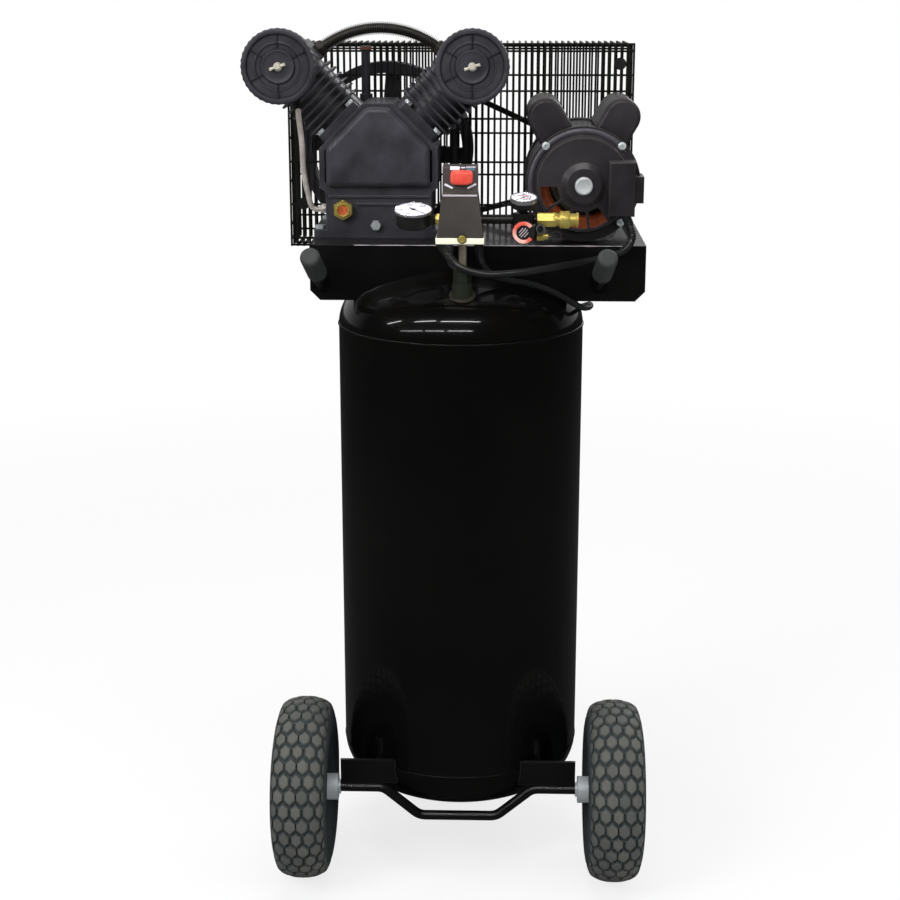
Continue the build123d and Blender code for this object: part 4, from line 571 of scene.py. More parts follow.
lamps = {
    # place and aim in millimetres, size in metres, watts, and what it shows on: matt surfaces or both kinds
    "keyLeft": ((-1900, -2100, 2500), (0, 0, 800), (1.3, 1.3), 62, "matt"),
    "fillRight": ((2300, -1500, 1500), (0, 0, 600), (1.4, 1.4), 30, "matt"),
    "overhead": ((-200, -300, 3000), (0, 0, 900), (1.6, 1.0), 32, "matt"),
    "sideLeft": ((-2200, -300, 1300), (0, 0, 800), (0.5, 1.4), 12, "matt"),
    "backRight": ((1500, 1700, 2300), (0, 100, 800), (1.0, 1.0), 22, "both"),
}
strips = {
    # ceiling strips seen only in gloss: middle in millimetres, size in metres, turn in degrees, watts
    "nearA": ((-3300, -1200, 2700), (1.9, 0.08), 0, 16), "nearB": ((-1280, -1510, 2700), (0.95, 0.08), 0, 8),
    "nearC": ((16, -1620, 2700), (1.4, 0.08), 0, 12), "farA": ((-4300, -3920, 2700), (3.1, 0.15), 0, 50),
    "farB": ((-1740, -3920, 2700), (1.5, 0.15), 0, 25), "farC": ((30, -3880, 2700), (1.6, 0.15), 0, 27),
    "backA": ((-1560, 5340, 2700), (1.1, 0.25), 44, 9), "backB": ((-1510, 2170, 2700), (1.3, 0.07), 23, 5),
}


def makeLamps():
    for name, (place, aim, size, watts, shows) in lamps.items():
        lamp = addLamp(name, place, size, watts)
        lamp.rotation_euler = Vector(spot(*aim) - spot(*place)).to_track_quat("-Z", "Y").to_euler()
        lamp.visible_glossy = shows == "both"
    for name, (place, size, turn, watts) in strips.items():
        lamp = addLamp(name, place, size, watts)
        lamp.rotation_euler = (0, 0, math.radians(turn))
        lamp.visible_diffuse = False


def addLamp(name, place, size, watts):
    data = bpy.data.lights.new(name, "AREA")
    data.shape, data.size, data.size_y, data.energy = "RECTANGLE", size[0], size[1], watts
    lamp = bpy.data.objects.new(name, data)
    lamp.location = spot(*place)
    bpy.context.collection.objects.link(lamp)
    return lamp


makeRoom()
makeFloor()
makeLamps()
print("camera, floor and lamps ready")


# cords: control points in millimetres from the tank's axis, the same as the solid model's

leadRoute = {
    "radius": 5.0, "exit": (-22, -138, 934.07),
    "points": [
        (-22, -138, 934.07), (-11, -142, 916), (8, -147, 904), (34, -148, 898), (64, -145, 898),
        (106, -136, 902), (149, -113, 906.5), (184, -88, 908), (212, -76, 913), (236, -68, 922),
        (244, -62, 941), (235.37, -57.80, 959.29),
    ],
}
supplyRoute = {
    "radius": 4.5, "exit": (27, -106, 933),
    "points": [
        (27, -106, 933), (27.5, -106, 916), (36, -104.5, 898), (51, -101, 886), (72, -96, 880.5),
        (98, -88, 876), (125, -81, 866), (148, -77, 854), (164, -73, 843), (176, -63, 837), (184, -46, 835),
        (188, -20, 833),
        (188, 18, 828), (180, 60, 817), (162, 98, 806), (140, 132, 786), (122, 152, 748), (112, 160, 680),
        (106, 162, 590), (103, 163, 480), (105, 162, 370), (107, 160, 260), (106, 159, 170), (105, 158, 110),
        (105, 158.5, 73), (104, 160, 41.4), (102, 173, 18), (98, 196, 4.5),
    ],
    "coil": {
        "centre": (40, 222), "perTurn": 16, "turns": [
            (0, 51.5, 4.5), (14, 54, 4.5), (290, 54, 4.5), (335, 45, 4.5), (600, 45, 4.5), (650, 45, 13.5),
            (900, 45, 13.5), (950, 54, 13.5), (1164, 54, 13.5),
        ],
    },
    "plug": [(20, 273.2, 13.0), (4, 271.5, 12.0)],
}


def coilPoints(coil):
    # the turns, as (angle, radius, height): outer one on the floor, inner one, inner and outer one on top
    angles, radii, heights = np.array(coil["turns"]).T
    turn = np.arange(0, angles[-1] + 1, 360 / coil["perTurn"])
    inside = math.cos(math.pi / coil["perTurn"])  # the line runs inside its points by this much
    radius, height = np.interp(turn, angles, radii) / inside, np.interp(turn, angles, heights)
    centreX, centreY = coil["centre"]
    x, y = centreX + radius * np.cos(np.radians(turn)), centreY + radius * np.sin(np.radians(turn))
    return list(zip(x, y, height))


def makeCord(name, points, radius, nodes, body="machine"):
    data = bpy.data.curves.new(name, "CURVE")
    data.dimensions, data.bevel_depth, data.bevel_resolution, data.resolution_u = "3D", radius * mm, 4, 10
    data.use_fill_caps = True
    spline = data.splines.new("NURBS")
    spline.points.add(len(points) - 1)
    spline.points.foreach_set("co", np.array([(*spot(*point), 1.0) for point in points]).ravel())
    spline.order_u, spline.use_endpoint_u = 3, True
    cord = bpy.data.objects.new(name, data)
    bpy.context.collection.objects.link(cord)
    data.materials.append(finishes["cordJacket"])
    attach(cord, body)
    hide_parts(*nodes)
    return cord


def linePoints(cord):
    # the line itself, read from the curve without its bevel
    bare = cord.data.copy()
    bare.bevel_depth = 0
    holder = bpy.data.objects.new("measure", bare)
    line = bpy.data.meshes.new_from_object(holder)
    places = np.empty(len(line.vertices) * 3)
    line.vertices.foreach_get("co", places)
    bpy.data.objects.remove(holder)
    bpy.data.meshes.remove(line)
    bpy.data.curves.remove(bare)
    return places.reshape(-1, 3)


def lineLength(cord):
    return travelled(linePoints(cord))[-1]


motorLead = makeCord("motorLead", leadRoute["points"], leadRoute["radius"], ["motor_lead"])
supplyPoints = supplyRoute["points"] + coilPoints(supplyRoute["coil"]) + supplyRoute["plug"]
supplyCord = makeCord("supplyCord", supplyPoints, supplyRoute["radius"], ["supply_cord", "cord_coil"])
lineLength(motorLead)
lineLength(supplyCord)
print("cords laid, supply cord", round(lineLength(supplyCord), 3), "m")


# finishes for the solid model's own pieces

nodeFinish = {
    "tankEnamel": ["tank_shell", "tank_heads"],
    "frameCoat": ["axle_gussets", "rear_foot", "platform_tray", "handle_bars"],
    "axlePaint": ["axle_rod"],
    "blankSteel": ["bearings", "motor_rotor", "safety_ring"],
    "zinc": ["wheel_retainers", "hex_bolts"],
    "pipeSteel": ["tank_fittings"],
    "gripRubber": ["rubber_feet", "handle_grips"],
    "tyreRubber": ["left_tyre", "right_tyre"],
    "castPaint": ["crankcase", "crankcase_cover", "cylinders", "valve_plates", "cylinder_heads", "pump_tubes",
                  "breather_tube", "flywheel", "motor_pulley", "discharge_tube"],
    "darkIron": ["crankshaft"],
    "alloy": ["pistons"],
    "filterPlastic": ["filter_bases", "filter_covers"],
    "blackPlastic": ["guard_clips", "cable_glands", "regulator_knob"],
    "switchPlastic": ["switch_cover"],
    "brass": ["oil_sight_glass", "drain_knob", "coupler_sleeve"],
    "fittings": ["air_fittings"],
    "beltRubber": ["drive_belt"],
    "wireCoat": ["guard_front_panel", "guard_rear_shell"],
    "motorPaint": ["motor_shell", "motor_front_bell", "motor_rear_bell", "capacitor_covers", "terminal_box"],
    "copper": ["stator_windings"],
    "galvanised": ["motor_base"],
    "creamPlastic": ["switch_base"],
    "redPlastic": ["switch_knob"],
    "chrome": ["gauge_cases"],
    "blackMark": [node for node in frame["nodes"] if node.endswith("_needle")],
    "cordJacket": ["motor_lead", "supply_cord", "cord_coil", "cord_plug"],
    "rimPaint": ["left_rim", "right_rim"],
}
for name, nodes in nodeFinish.items():
    for node in nodes:
        data = frame["nodes"][node].data
        data.materials.clear()
        data.materials.append(finishes[name])
left = [node for node in frame["nodes"] if not any(node in nodes for nodes in nodeFinish.values())]
print("solid model's pieces finished, without one:", left)


# tyres and hubs

tyre = {
    "rows": 38, "step": 18.6, "tall": 4.0, "edge": 49.0, "knob": (7.8, 12.6, 14.5), "around": 700,
    "tread": 132.5, "shift": {"left": 2.5, "right": 1.0}, "toes": [(27, 53), (19, 54), (-19, 54), (-27, 53)],
    "section": [
        (0, 132.4), (10, 131.9), (19, 130.2), (27, 127.2), (32.5, 123.8), (35, 121.0), (37.4, 115.5),
        (39.6, 108.5), (40.8, 101), (40.9, 93), (39.6, 84), (37, 75), (33.5, 66.5), (30, 59.5), (27.5, 54),
    ],
}


def makeTyre(side):
    # section: smoothly through the given (half width, radius) places, the same on both sides. Knobs stand
    # where max(a / w, (b / h)^0.9 + (a / k)^0.9) < 1 round the nearest place of a staggered lattice, which
    # lies a aside and b ahead
    node = side + "_tyre"
    half = smoothPath([(x, r, 0) for x, r in tyre["section"]], 66)[:, :2]
    outline = np.concatenate([half[:0:-1] * [-1, 1], half])
    across, radius = outline[:, 0], outline[:, 1]
    arc = np.concatenate([[0], np.cumsum(np.hypot(np.diff(across), np.diff(radius)))])
    arc = arc - arc[-1] / 2
    turn = np.linspace(0, 2 * math.pi, tyre["around"], endpoint=False)
    u, v = np.meshgrid(turn * tyre["rows"] / (2 * math.pi), arc / tyre["step"], indexing="ij")
    nearest = np.full(u.shape, 9.0)
    tone = np.zeros(u.shape)
    wide, tall, waist = tyre["knob"]
    for shift in (0, 1):
        row = np.floor(u) + shift
        offset = v - 0.5 * (row % 2)
        aside = np.abs(offset - np.round(offset)) * tyre["step"]
        ahead = np.abs(u - row) * 2 * math.pi * tyre["tread"] / tyre["rows"]
        star = np.maximum(aside / wide, (ahead / tall) ** 0.9 + (aside / waist) ** 0.9)
        chance = np.modf(np.abs(np.sin((row % tyre["rows"]) * 12.9 + np.round(offset) * 78.2)) * 43.7)[0]
        tone = np.where(star < nearest, chance, tone)
        nearest = np.minimum(nearest, star)
    fade = np.clip((tyre["edge"] + 5 - np.abs(arc)) / 6, 0, 1)[None]
    knob = np.clip((1.06 - nearest) / 0.14, 0, 1) * np.clip((tyre["edge"] - np.abs(arc)) / 3, 0, 1)[None]
    wall = 0.6 * np.exp(-(((radius - 97) / 2.2) ** 2)) + 0.7 * np.exp(-(((radius - 72) / 3) ** 2))
    reach = radius[None] - tyre["tall"] * (fade - knob)
    toes = np.array(tyre["toes"], float)
    reach = np.concatenate([reach, np.broadcast_to(toes[:, 1], (len(turn), 4))], 1)
    out = np.concatenate([across + np.sign(across) * (wall - 0.7), toes[:, 0]]) + tyre["shift"][side]
    top = np.clip(knob * 1.6 - 0.6, 0, 1) * (0.62 + 0.38 * tone)
    mask = np.concatenate([0.1 + 0.9 * top, np.zeros((len(turn), 4))], 1)
    points = middle(node) + mm * np.stack([
        np.broadcast_to(out, reach.shape), reach * np.cos(turn)[:, None], reach * np.sin(turn)[:, None],
    ], -1)
    piece(
        side + "Tyre", [(points, True, True)], "tyreRubber", 40, body=bodyOf[node],
        replaces=(node,), mask=mask,
    )


for side in ("left", "right"):
    makeTyre(side)
print("tyres moulded")


# weld beads round the tank's two seams

weld = {"bead": 2.4, "ripple": 3.2, "depth": 0.35, "seams": ((161, 175.9), (805, 176.5)), "around": 1400}


def makeSeam(height, radius):
    # a round bead whose thickness swells and sinks along the seam
    angle = np.linspace(0, 2 * math.pi, weld["around"], endpoint=False)[:, None]
    path = spot(0, 0, height) + radius * mm * (np.cos(angle) * [1, 0, 0] + np.sin(angle) * [0, 1, 0])
    swell = 1 + weld["depth"] * np.sin(2 * math.pi * travelled(path) / mm / weld["ripple"]) / weld["bead"]
    return along(path, ring(weld["bead"], 8)[None] * swell[:, None, None], closed=True)


piece("tankSeams", [makeSeam(*seam) for seam in weld["seams"]], "tankEnamel", 60)
print("seams welded")


# pump: filter covers, wing nuts, crossover tube, vent tube, oil glass

filters = {
    "profile": [
        (0, 13.2), (4.0, 13.2), (5.0, 12.2), (19.5, 12.2), (21.5, 13.2), (23.0, 13.0), (24.0, 10.8),
        (30.5, 10.8), (31.5, 11.8), (33.0, 11.8), (34.0, 10.6), (43.6, 10.6), (44.6, 13.0), (46.0, 14.0),
        (49.2, 14.0), (51.4, 13.0), (52.4, 11.0), (52.4, 0.4), (51.4, 0.0), (44.0, 0.0), (0, 0.0),
    ],
    "around": 216, "scallops": 36, "wave": 0.008, "rim": 48.0, "grooves": (23.6, 31.0, 44.0), "lift": 1.5,
    "ribs": (90, 28, 270, 208, 150), "ribWidth": 1.8, "ribDepth": 1.6,
    "ribLine": ((22.5, 11.6), (30, 11.7), (38, 11.8), (45, 12.4)), "nutSeat": 13.0, "nutTurn": 18,
}


def makeFilterCover(centre):
    # a turned cover whose outer rim is waved; its grooves are marked for a darker colour, painted shade
    profile = np.array(filters["profile"], float)
    stretches = [np.linspace(a, b, 4, endpoint=False) for a, b in zip(profile[:-1], profile[1:])]
    dense = np.concatenate(stretches + [profile[-1:]])
    radius, wave = dense[:, 0], filters["wave"]
    grid = turned(dense, centre, forward, filters["around"])[0]
    angle = np.linspace(0, 2 * math.pi, filters["around"], endpoint=False)
    share = np.clip((radius - filters["rim"]) / 4, 0, 1)[:, None]
    rim = share * np.cos(filters["scallops"] * angle)[None]
    radial = (grid - centre) * [1, 0, 1]
    grid = grid + radial * (wave * rim - wave)[..., None] * share[..., None]
    front = dense[:, 1] > 9
    grooves = sum(np.exp(-(((radius - place) / 0.8) ** 2)) * front for place in filters["grooves"])
    return (grid, False, True), np.repeat(np.clip(grooves, 0, 1)[:, None], filters["around"], 1)


def makeFilterRib(centre, degrees):
    # a thin rib that stands between the cover's rings; it is coloured black as painted shade, so that it
    # reads as a dark groove
    way = np.array([math.cos(math.radians(degrees)), 0, math.sin(math.radians(degrees))])
    path = [centre + (way * r + forward * y) * mm for r, y in filters["ribLine"]]
    half, deep = filters["ribWidth"] / 2 * mm, filters["ribDepth"] * mm
    shape = np.array([[-half, -deep], [half, -deep], [half * 0.7, deep * 0.6], [-half * 0.7, deep * 0.6]])
    return capped(along(path, shape, up=forward))


def makeWingNut(centre):
    # a small cone with two rounded wings, each a flat oval that swells outwards
    cone = [(0, 8), (3.4, 8), (4.2, 7.2), (5.0, 3), (6.2, 0.8), (6.2, 0), (0, 0)]
    grids = [turned(cone, centre, forward, 24)]
    tilt = math.radians(filters["nutTurn"])
    share = np.linspace(0, 1, 9)
    reach, rise = 2.0 + 9.4 * share, 3.0 + 2.8 * share**1.5
    blunt = np.sqrt(np.clip(1 - share**6, 0.02, 1))
    size = np.stack([1.7 + 0.6 * share, (2.4 + 1.8 * share) * blunt], 1) * mm
    for sign in (-1, 1):
        way = sign * np.array([math.cos(tilt), 0, math.sin(tilt)])
        path = centre + (reach[:, None] * way + rise[:, None] * forward) * mm
        grids.append(capped(along(path, circle(12)[None] * size[:, None], up=forward)))
    return grids


coverLow, coverHigh = low("filter_covers"), high("filter_covers")
filterZ = (coverLow[2] + coverHigh[2]) / 2 + filters["lift"] * mm
filterReach = (coverHigh[2] - coverLow[2]) / 2
filterPlaces = [
    np.array([x, coverHigh[1], filterZ]) for x in (coverLow[0] + filterReach, coverHigh[0] - filterReach)
]
covers, grooveShades = zip(*[makeFilterCover(centre) for centre in filterPlaces])
piece(
    "filterCovers", covers, "filterPlastic", 30, replaces=("filter_covers",),
    mask=np.concatenate([tone.ravel() for tone in grooveShades]),
)
ribs = [makeFilterRib(centre, degrees) for centre in filterPlaces for degrees in filters["ribs"]]
# the ribs are coloured black as painted shade
piece("filterRibs", ribs, "blackMark", 30)
nuts = [grid for centre in filterPlaces for grid in makeWingNut(centre + forward * filters["nutSeat"] * mm)]
piece("wingNuts", nuts, "wingSilver", 40)

tube = {
    "radius": 6.8, "fin": 9.25, "pitch": 2.6, "reach": 172.0, "rise": 27.0,
    "pump": (-119.0, 78.0, 1033.0), "port": 45.0, "nut": 12.0, "bite": 4.0,
}


def makeCrossover():
    # an arc through three places, carrying a round tube whose radius steps up at each thin fin
    pump, nut = np.array(tube["pump"]), tube["nut"]
    reach = tube["reach"] * math.sqrt(0.5)
    root = tube["port"] + nut - tube["bite"]
    lead = np.array([-reach, 0, reach]) + np.array([1, 0, 1]) * root / math.sqrt(2)
    start, end = pump + lead, pump + lead * [-1, 1, 1]
    half, rise = (end[0] - start[0]) / 2, tube["rise"]
    bend = (half**2 + rise**2) / (2 * rise)
    sweep = math.asin(half / bend)
    count = int(2 * bend * sweep / tube["pitch"])
    stops = np.linspace(0, 1, count + 1)[:-1, None] + np.array([0, 0.32, 0.36, 0.60, 0.64])[None] / count
    angle = (np.append(stops.ravel(), 1.0) * 2 - 1) * sweep
    bare, fin = tube["radius"], tube["fin"]
    sizes = np.append(np.tile([bare, bare, fin, fin, bare], count), bare)
    arc = np.stack([bend * np.sin(angle), np.zeros(len(angle)), rise - bend + bend * np.cos(angle)], 1)
    path = spot(*pump) + (arc + [0, 0, start[2] - pump[2]]) * mm
    grids = [capped(along(path, circle(20)[None] * (sizes * mm)[:, None, None], up=(0, 1, 0)))]
    for sign in (-1, 1):
        away = np.array([-sign, 0, 1]) / math.sqrt(2)
        foot = spot(*(pump + np.array([sign * reach, 0, reach]) + away * tube["port"]))
        grids.append(hexNut(foot, away, nut * math.cos(math.pi / 6), nut))
    return grids


def hexNut(centre, axis, flats, length):
    # six flats with their outer corners turned down at both ends
    axis = unit(axis)
    first = unit(np.cross(axis, (0, 1, 0) if abs(axis[1]) < 0.9 else (0, 0, 1)))
    angle = np.linspace(0, 2 * math.pi, 48, endpoint=False)
    side = flats / np.cos((angle + math.pi / 6) % (math.pi / 3) - math.pi / 6)
    rounded, bevel = 0.97 * flats, 0.13 * flats
    rows = [(0.0, 0), (rounded, 0), (side, bevel), (side, length - bevel), (rounded, length), (0.0, length)]
    radial = np.cos(angle)[:, None] * first + np.sin(angle)[:, None] * np.cross(axis, first)
    grid = [centre + mm * (np.broadcast_to(r, angle.shape)[:, None] * radial + h * axis) for r, h in rows]
    return np.stack(grid), False, True


piece("crossoverTube", makeCrossover(), "tubePaint", 40, replaces=("pump_tubes",))

vent = {
    "radius": 4.0, "sides": 16, "darkStretch": 0.3, "nut": ((-203, 22, 966), 6.5, 7.5),
    "places": [
        (-235.6, 12, 1132.2), (-235.6, 24, 1130), (-234, 22, 1112), (-232.6, 16, 1096), (-229, 17, 1060),
        (-227.6, 18, 1021), (-222, 19.5, 988), (-215, 22, 966.5), (-195.2, 22, 966),
    ],
}


def makeVent():
    # a bent tube whose upper stretch is dark, and the nut at its foot
    line = smoothPath([spot(*place) for place in vent["places"]])
    place, flats, length = vent["nut"]
    nut = hexNut(spot(*place), (1, 0, 0), flats, length)
    tubing = capped(along(line, ring(vent["radius"], vent["sides"]), up=(0, 1, 0.2)))
    darkStretch = np.concatenate([[1], np.linspace(0, 1, len(line)) < vent["darkStretch"], [0]]).astype(float)
    mask = np.concatenate([np.repeat(darkStretch, vent["sides"]), np.zeros(nut[0].size // 3)])
    piece("ventTube", [tubing, nut], "paleTube", 40, mask=mask)


makeVent()
print("filters and tubes fitted")

oilGlass = {
    "flats": 12.87, "length": 10.5,
    "lip": [(7.2, 10), (7.2, 11.2), (8.0, 12), (9.6, 12), (10.6, 11), (10.8, 10)],
    "bowl": [
        (0, 10.6), (3.2, 10.7), (3.4, 11.0), (5.4, 11.0), (5.6, 10.7), (7.3, 10.8), (7.3, 10.2), (0, 10.2),
    ],
}


def makeOilGlass():
    centre = middle("oil_sight_glass") * [1, 0, 1] + [0, high("oil_sight_glass")[1], 0]
    body = hexNut(centre, forward, oilGlass["flats"], oilGlass["length"])
    lip = turned(oilGlass["lip"], centre, forward, 40)
    piece("oilGlassBody", [body, lip], "brass", 30, replaces=("oil_sight_glass",))
    piece("oilGlassCentre", [turned(oilGlass["bowl"], centre, forward, 32)], "copper", 30)


makeOilGlass()
print("pump dressed")


# pressure switch: cover with soft edges, base strip, screw, marks and the rounded knob

switch = {
    "middle": 2.0, "half": 33.0, "bottom": 941.0, "strip": 8.2, "front": -156.0, "shoulder": (-142.0, 1008.0),
    "top": (-137.0, 1043.0), "knob": {"x": 4.0, "z": 1028.6, "width": 31.0, "height": 20.0, "deep": 11.0},
    "screw": [(0, 3.0), (0.7, 3.0), (0.9, 2.2), (4.0, 2.6), (5.0, 1.8), (5.3, 0.6), (5.3, 0), (0, 0)],
    "arrows": [
        [(-19.6, 1018.4), (-8.6, 1013.4), (-7.4, 1015.6), (-18.2, 1021.0)],
        [(11.4, 1015.6), (12.4, 1013.4), (24.2, 1019.0), (22.8, 1021.2)],
    ],
    "bars": [
        [(-12.0, 1038.4), (1.2, 1038.8), (1.4, 1043.2), (-11.6, 1043.4)],
        [(3.0, 1040.9), (8.6, 1040.9), (8.6, 1042.4), (3.0, 1042.4)],
        [(9.8, 1041.9), (22.4, 1041.9), (22.4, 1043.0), (9.8, 1043.0)],
    ],
    "patch": [(10.6, 1038.0), (21.0, 1037.8), (22.0, 1041.6), (9.8, 1041.6)],
}


def switchFront(z):
    # the depth of the switch's sloping front at a height
    (y0, z0), (y1, z1) = switch["shoulder"], switch["top"]
    return y0 + (z - z0) * (y1 - y0) / (z1 - z0)


def flatMark(corners, thick, gap=0.1):
    # a flat mark just off the sloping front: its corners as (x, z) in order
    rows = [[spot(x, switchFront(z) - lift, z) for x, z in corners] for lift in (gap, gap + thick)]
    return capped((np.array(rows), False, True))


def roundedBox(place, sizes, radius, count=6):
    # stacked rounded rectangles: each level of the edge's quarter circle is inset by radius (1 - sin)
    # and raised by radius (1 - cos)
    quarter = np.linspace(0, math.pi / 2, count)
    levels = [(radius * (1 - math.sin(q)), radius * (1 - math.cos(q))) for q in quarter]
    width, depth, height = sizes
    rows = levels + [(inset, height - rise) for inset, rise in levels[::-1]]
    turn = np.linspace(0, 2 * math.pi, 48, endpoint=False) + math.pi / 48
    cos, sin = np.cos(turn), np.sin(turn)
    grid = []
    for inset, rise in rows:
        r = max(radius * 1.2 - inset, 0.05)
        x = np.sign(cos) * (width / 2 - inset - r) + r * cos
        y = np.sign(sin) * (depth / 2 - inset - r) + r * sin
        grid.append(np.stack([x, y, np.full(48, rise - height / 2)], 1))
    return capped((np.asarray(place) + np.array(grid) * mm, False, True))


def makeSwitch():
    # the base is a rounded plate; the port block stands inside the cover; a pale bar along the cover's ledge
    # is a painted highlight
    half, bottom, strip, across = switch["half"], switch["bottom"], switch["strip"], switch["middle"]
    base = roundedBox(spot(across, -127.6, bottom + strip / 2 - 0.4), (2 * half, 58.6, strip), 1.2)
    block = roundedBox(spot(across, -130, bottom + 25), (39.0, 29.0, 34.0), 1.0)
    piece("switchBase", [base, block], "creamPlastic", 50, replaces=("switch_base",))
    screwMiddle = spot(5.0, switch["front"] - 0.7, 947.6)
    piece("switchScrew", [turned(switch["screw"], screwMiddle, forward, 32)], "brass", 30)
    washer = turnedRing([(5.2, 0), (5.2, 0.5), (6.3, 0.5), (6.3, 0)], screwMiddle, forward, 32)
    piece("switchWasher", [washer], "blackMark", 30)
    # painted highlight: a pale bar along the ledge of the cover, where its rounded edge catches the light
    lip = roundedBox(spot(across, switch["front"] + 0.2, 1006.2), (47.0, 2.0, 2.6), 0.9)
    piece("switchLip", [lip], "satinGrey", 60)
    arrows = [flatMark(corners, 0.25) for corners in switch["arrows"]]
    bars = [flatMark(corners, 0.3) for corners in switch["bars"]]
    piece("switchMarks", arrows + bars, "whiteMark", 40)
    piece("switchPatch", [flatMark(switch["patch"], 0.25)], "blueMark", 40)


def makeKnob():
    # rows from base to crown: rounded oblongs, superellipses of power 2 / 0.42, whose lower edge is bowed
    knob = switch["knob"]
    share = np.linspace(0, 1, 14)
    turn = np.linspace(0, 2 * math.pi, 72, endpoint=False)
    width = knob["width"] / 2 * (1 - 0.06 * share - 0.30 * share**5)
    height = knob["height"] / 2 * (1 - 0.10 * share - 0.42 * share**4)
    lift = 0.6 + knob["deep"] * np.sin(share * math.pi / 2)
    across, over = [np.sign(part) * np.abs(part) ** 0.42 for part in (np.cos(turn), np.sin(turn))]
    bow = 1.0 - 0.16 * across**2 * (over < 0)
    x = knob["x"] + width[:, None] * across
    z = knob["z"] + height[:, None] * over * bow
    grid = spot(0, 0, 0) + np.stack([x, switchFront(z) - lift[:, None], z], -1) * mm
    piece(
        "knobCap", [capped((grid, False, True))], "redPlastic", 50,
        body=bodyOf["switch_knob"], replaces=("switch_knob",),
    )


makeSwitch()
makeKnob()
softened("switch_cover", 1.4, 3, "switchPlastic")
print("switch finished")


# gauges: dark cases, bright rims, white dials with marks and numbers, and their needles

gaugeTilt, dialSweep, dialDrop = math.radians(76), 270, 0.8
gaugeOut = np.array([0.0, -math.cos(gaugeTilt), math.sin(gaugeTilt)])
gaugeUp = np.cross(gaugeOut, (1.0, 0.0, 0.0))
gauges = {
    "tank": {
        "face": (-62, -130, 985), "radius": 26.0, "depth": 24.0, "rim": 0.9, "skirt": 3.2, "zero": -45,
        "numbers": ("0", "50", "100", "150", "200"), "size": 5.6,
    },
    "outlet": {
        "face": (88, -130, 1002), "radius": 18.5, "depth": 16.0, "rim": 1.5, "skirt": 6.0, "zero": -135,
        "numbers": ("0", "40", "80", "120", "160"), "size": 3.9,
        "bands": ((5.2, 7.0, 135, -135), (8.4, 10.2, 150, -100)),
    },
}


def onDial(gauge, radius, degrees, lift):
    # a place on a dial: distance from its middle, turn from the right-hand side, and height over the dial
    turn = np.radians(degrees)
    across, over = np.asarray(radius) * np.cos(turn), np.asarray(radius) * np.sin(turn)
    flat = np.multiply.outer(across, (1.0, 0.0, 0.0)) + np.multiply.outer(over, gaugeUp)
    return spot(*gauge["face"]) + (flat + gaugeOut * (lift - dialDrop)) * mm


def markGrid(gauge, inner, outer, degrees, width):
    # a thin raised line on a dial, from one radius to another
    spread = np.degrees(width / 2 / np.array([inner, outer]))
    ends = ((inner, -spread[0]), (outer, -spread[1]), (outer, spread[1]), (inner, spread[0]))
    corners = np.array([onDial(gauge, radius, degrees + turn, 0.1) for radius, turn in ends])
    return capped((np.stack([corners - gaugeOut * 0.2 * mm, corners]), False, True))


def numberMesh(text, place, size):
    # a number as a mesh lying in the dial's plane
    curve = bpy.data.curves.new("number", "FONT")
    curve.body, curve.size, curve.extrude = text, size * mm, 0.05 * mm
    curve.align_x, curve.align_y = "CENTER", "CENTER"
    curve.resolution_u = 2
    holder = bpy.data.objects.new("number", curve)
    mesh = bpy.data.meshes.new_from_object(holder)
    bpy.data.objects.remove(holder)
    bpy.data.curves.remove(curve)
    points = np.empty(len(mesh.vertices) * 3)
    mesh.vertices.foreach_get("co", points)
    points = points.reshape(-1, 3) @ np.array([(1.0, 0.0, 0.0), gaugeUp, gaugeOut])
    mesh.vertices.foreach_set("co", (place + points).ravel())
    return mesh


def makeNumbers(name, gauge):
    radius = gaugeInner(gauge) - 6.2 * gauge["radius"] / 26
    step = dialSweep / (len(gauge["numbers"]) - 1)
    joined = bmesh.new()
    for k, text in enumerate(gauge["numbers"]):
        mesh = numberMesh(text, onDial(gauge, radius, gauge["zero"] - step * k, 0.1), gauge["size"])
        joined.from_mesh(mesh)
        bpy.data.meshes.remove(mesh)
    mesh = bpy.data.meshes.new(name + "Numbers")
    joined.to_mesh(mesh)
    joined.free()
    obj = bpy.data.objects.new(name + "Numbers", mesh)
    bpy.context.collection.objects.link(obj)
    tidyMesh(mesh)
    dress(obj, "blackMark", "machine")


def gaugeInner(gauge):
    # the radius that the marks on the dial start from
    return gauge["radius"] - gauge["rim"] - 1.2


def makeCase(name, gauge):
    face, r, depth, rim, skirt = [gauge[key] for key in ("face", "radius", "depth", "rim", "skirt")]
    face = spot(*face)
    grids = [turned([
        (0, -depth), (r - 5, -depth), (r - 3.2, -depth + 1), (r - 2.2, -depth + 3), (r - 2.2, -3.0),
        (r - 3.4, -2.8), (r - 3.4, -2.4), (0, -2.4),
    ], face, gaugeOut, 72)]
    if name == "tank":
        grids.append(roundedBox(spot(-37, -130, 971), (10.0, 14.0, 14.0), 1.2))
    stood = ("gauge_cases",) if name == "tank" else ()
    piece(name + "GaugeCase", grids, "blackPlastic", 40, replaces=stood)
    bezel = turnedRing([
        (r - rim - 0.8, -1.0), (r - rim - 0.3, -0.7), (r - rim + 0.2, -0.1), (r - 0.6, 0), (r - 0.1, -0.6),
        (r, -1.6), (r - 0.1, -skirt), (r - 1.4, -skirt - 0.2), (r - 1.6, -2.4),
    ], face, gaugeOut, 96)
    piece(name + "GaugeRim", [bezel], "chrome", 40)
    edge = r - rim - 0.5
    dial = turned([(0, -dialDrop), (edge, -dialDrop), (edge, -2.2), (0, -2.2)], face, gaugeOut, 72)
    piece(name + "Dial", [dial], "whiteMark", 40)


def makeTicks(name, gauge):
    # every fifth mark is longer and wider
    outer, marks = gaugeInner(gauge), []
    for k in range(21):
        long, wide = (3.2, 0.7) if k % 5 == 0 else (1.8, 0.4)
        marks.append(markGrid(gauge, outer - long, outer, gauge["zero"] - dialSweep * k / 20, wide))
    piece(name + "Ticks", marks, "blackMark", 40)


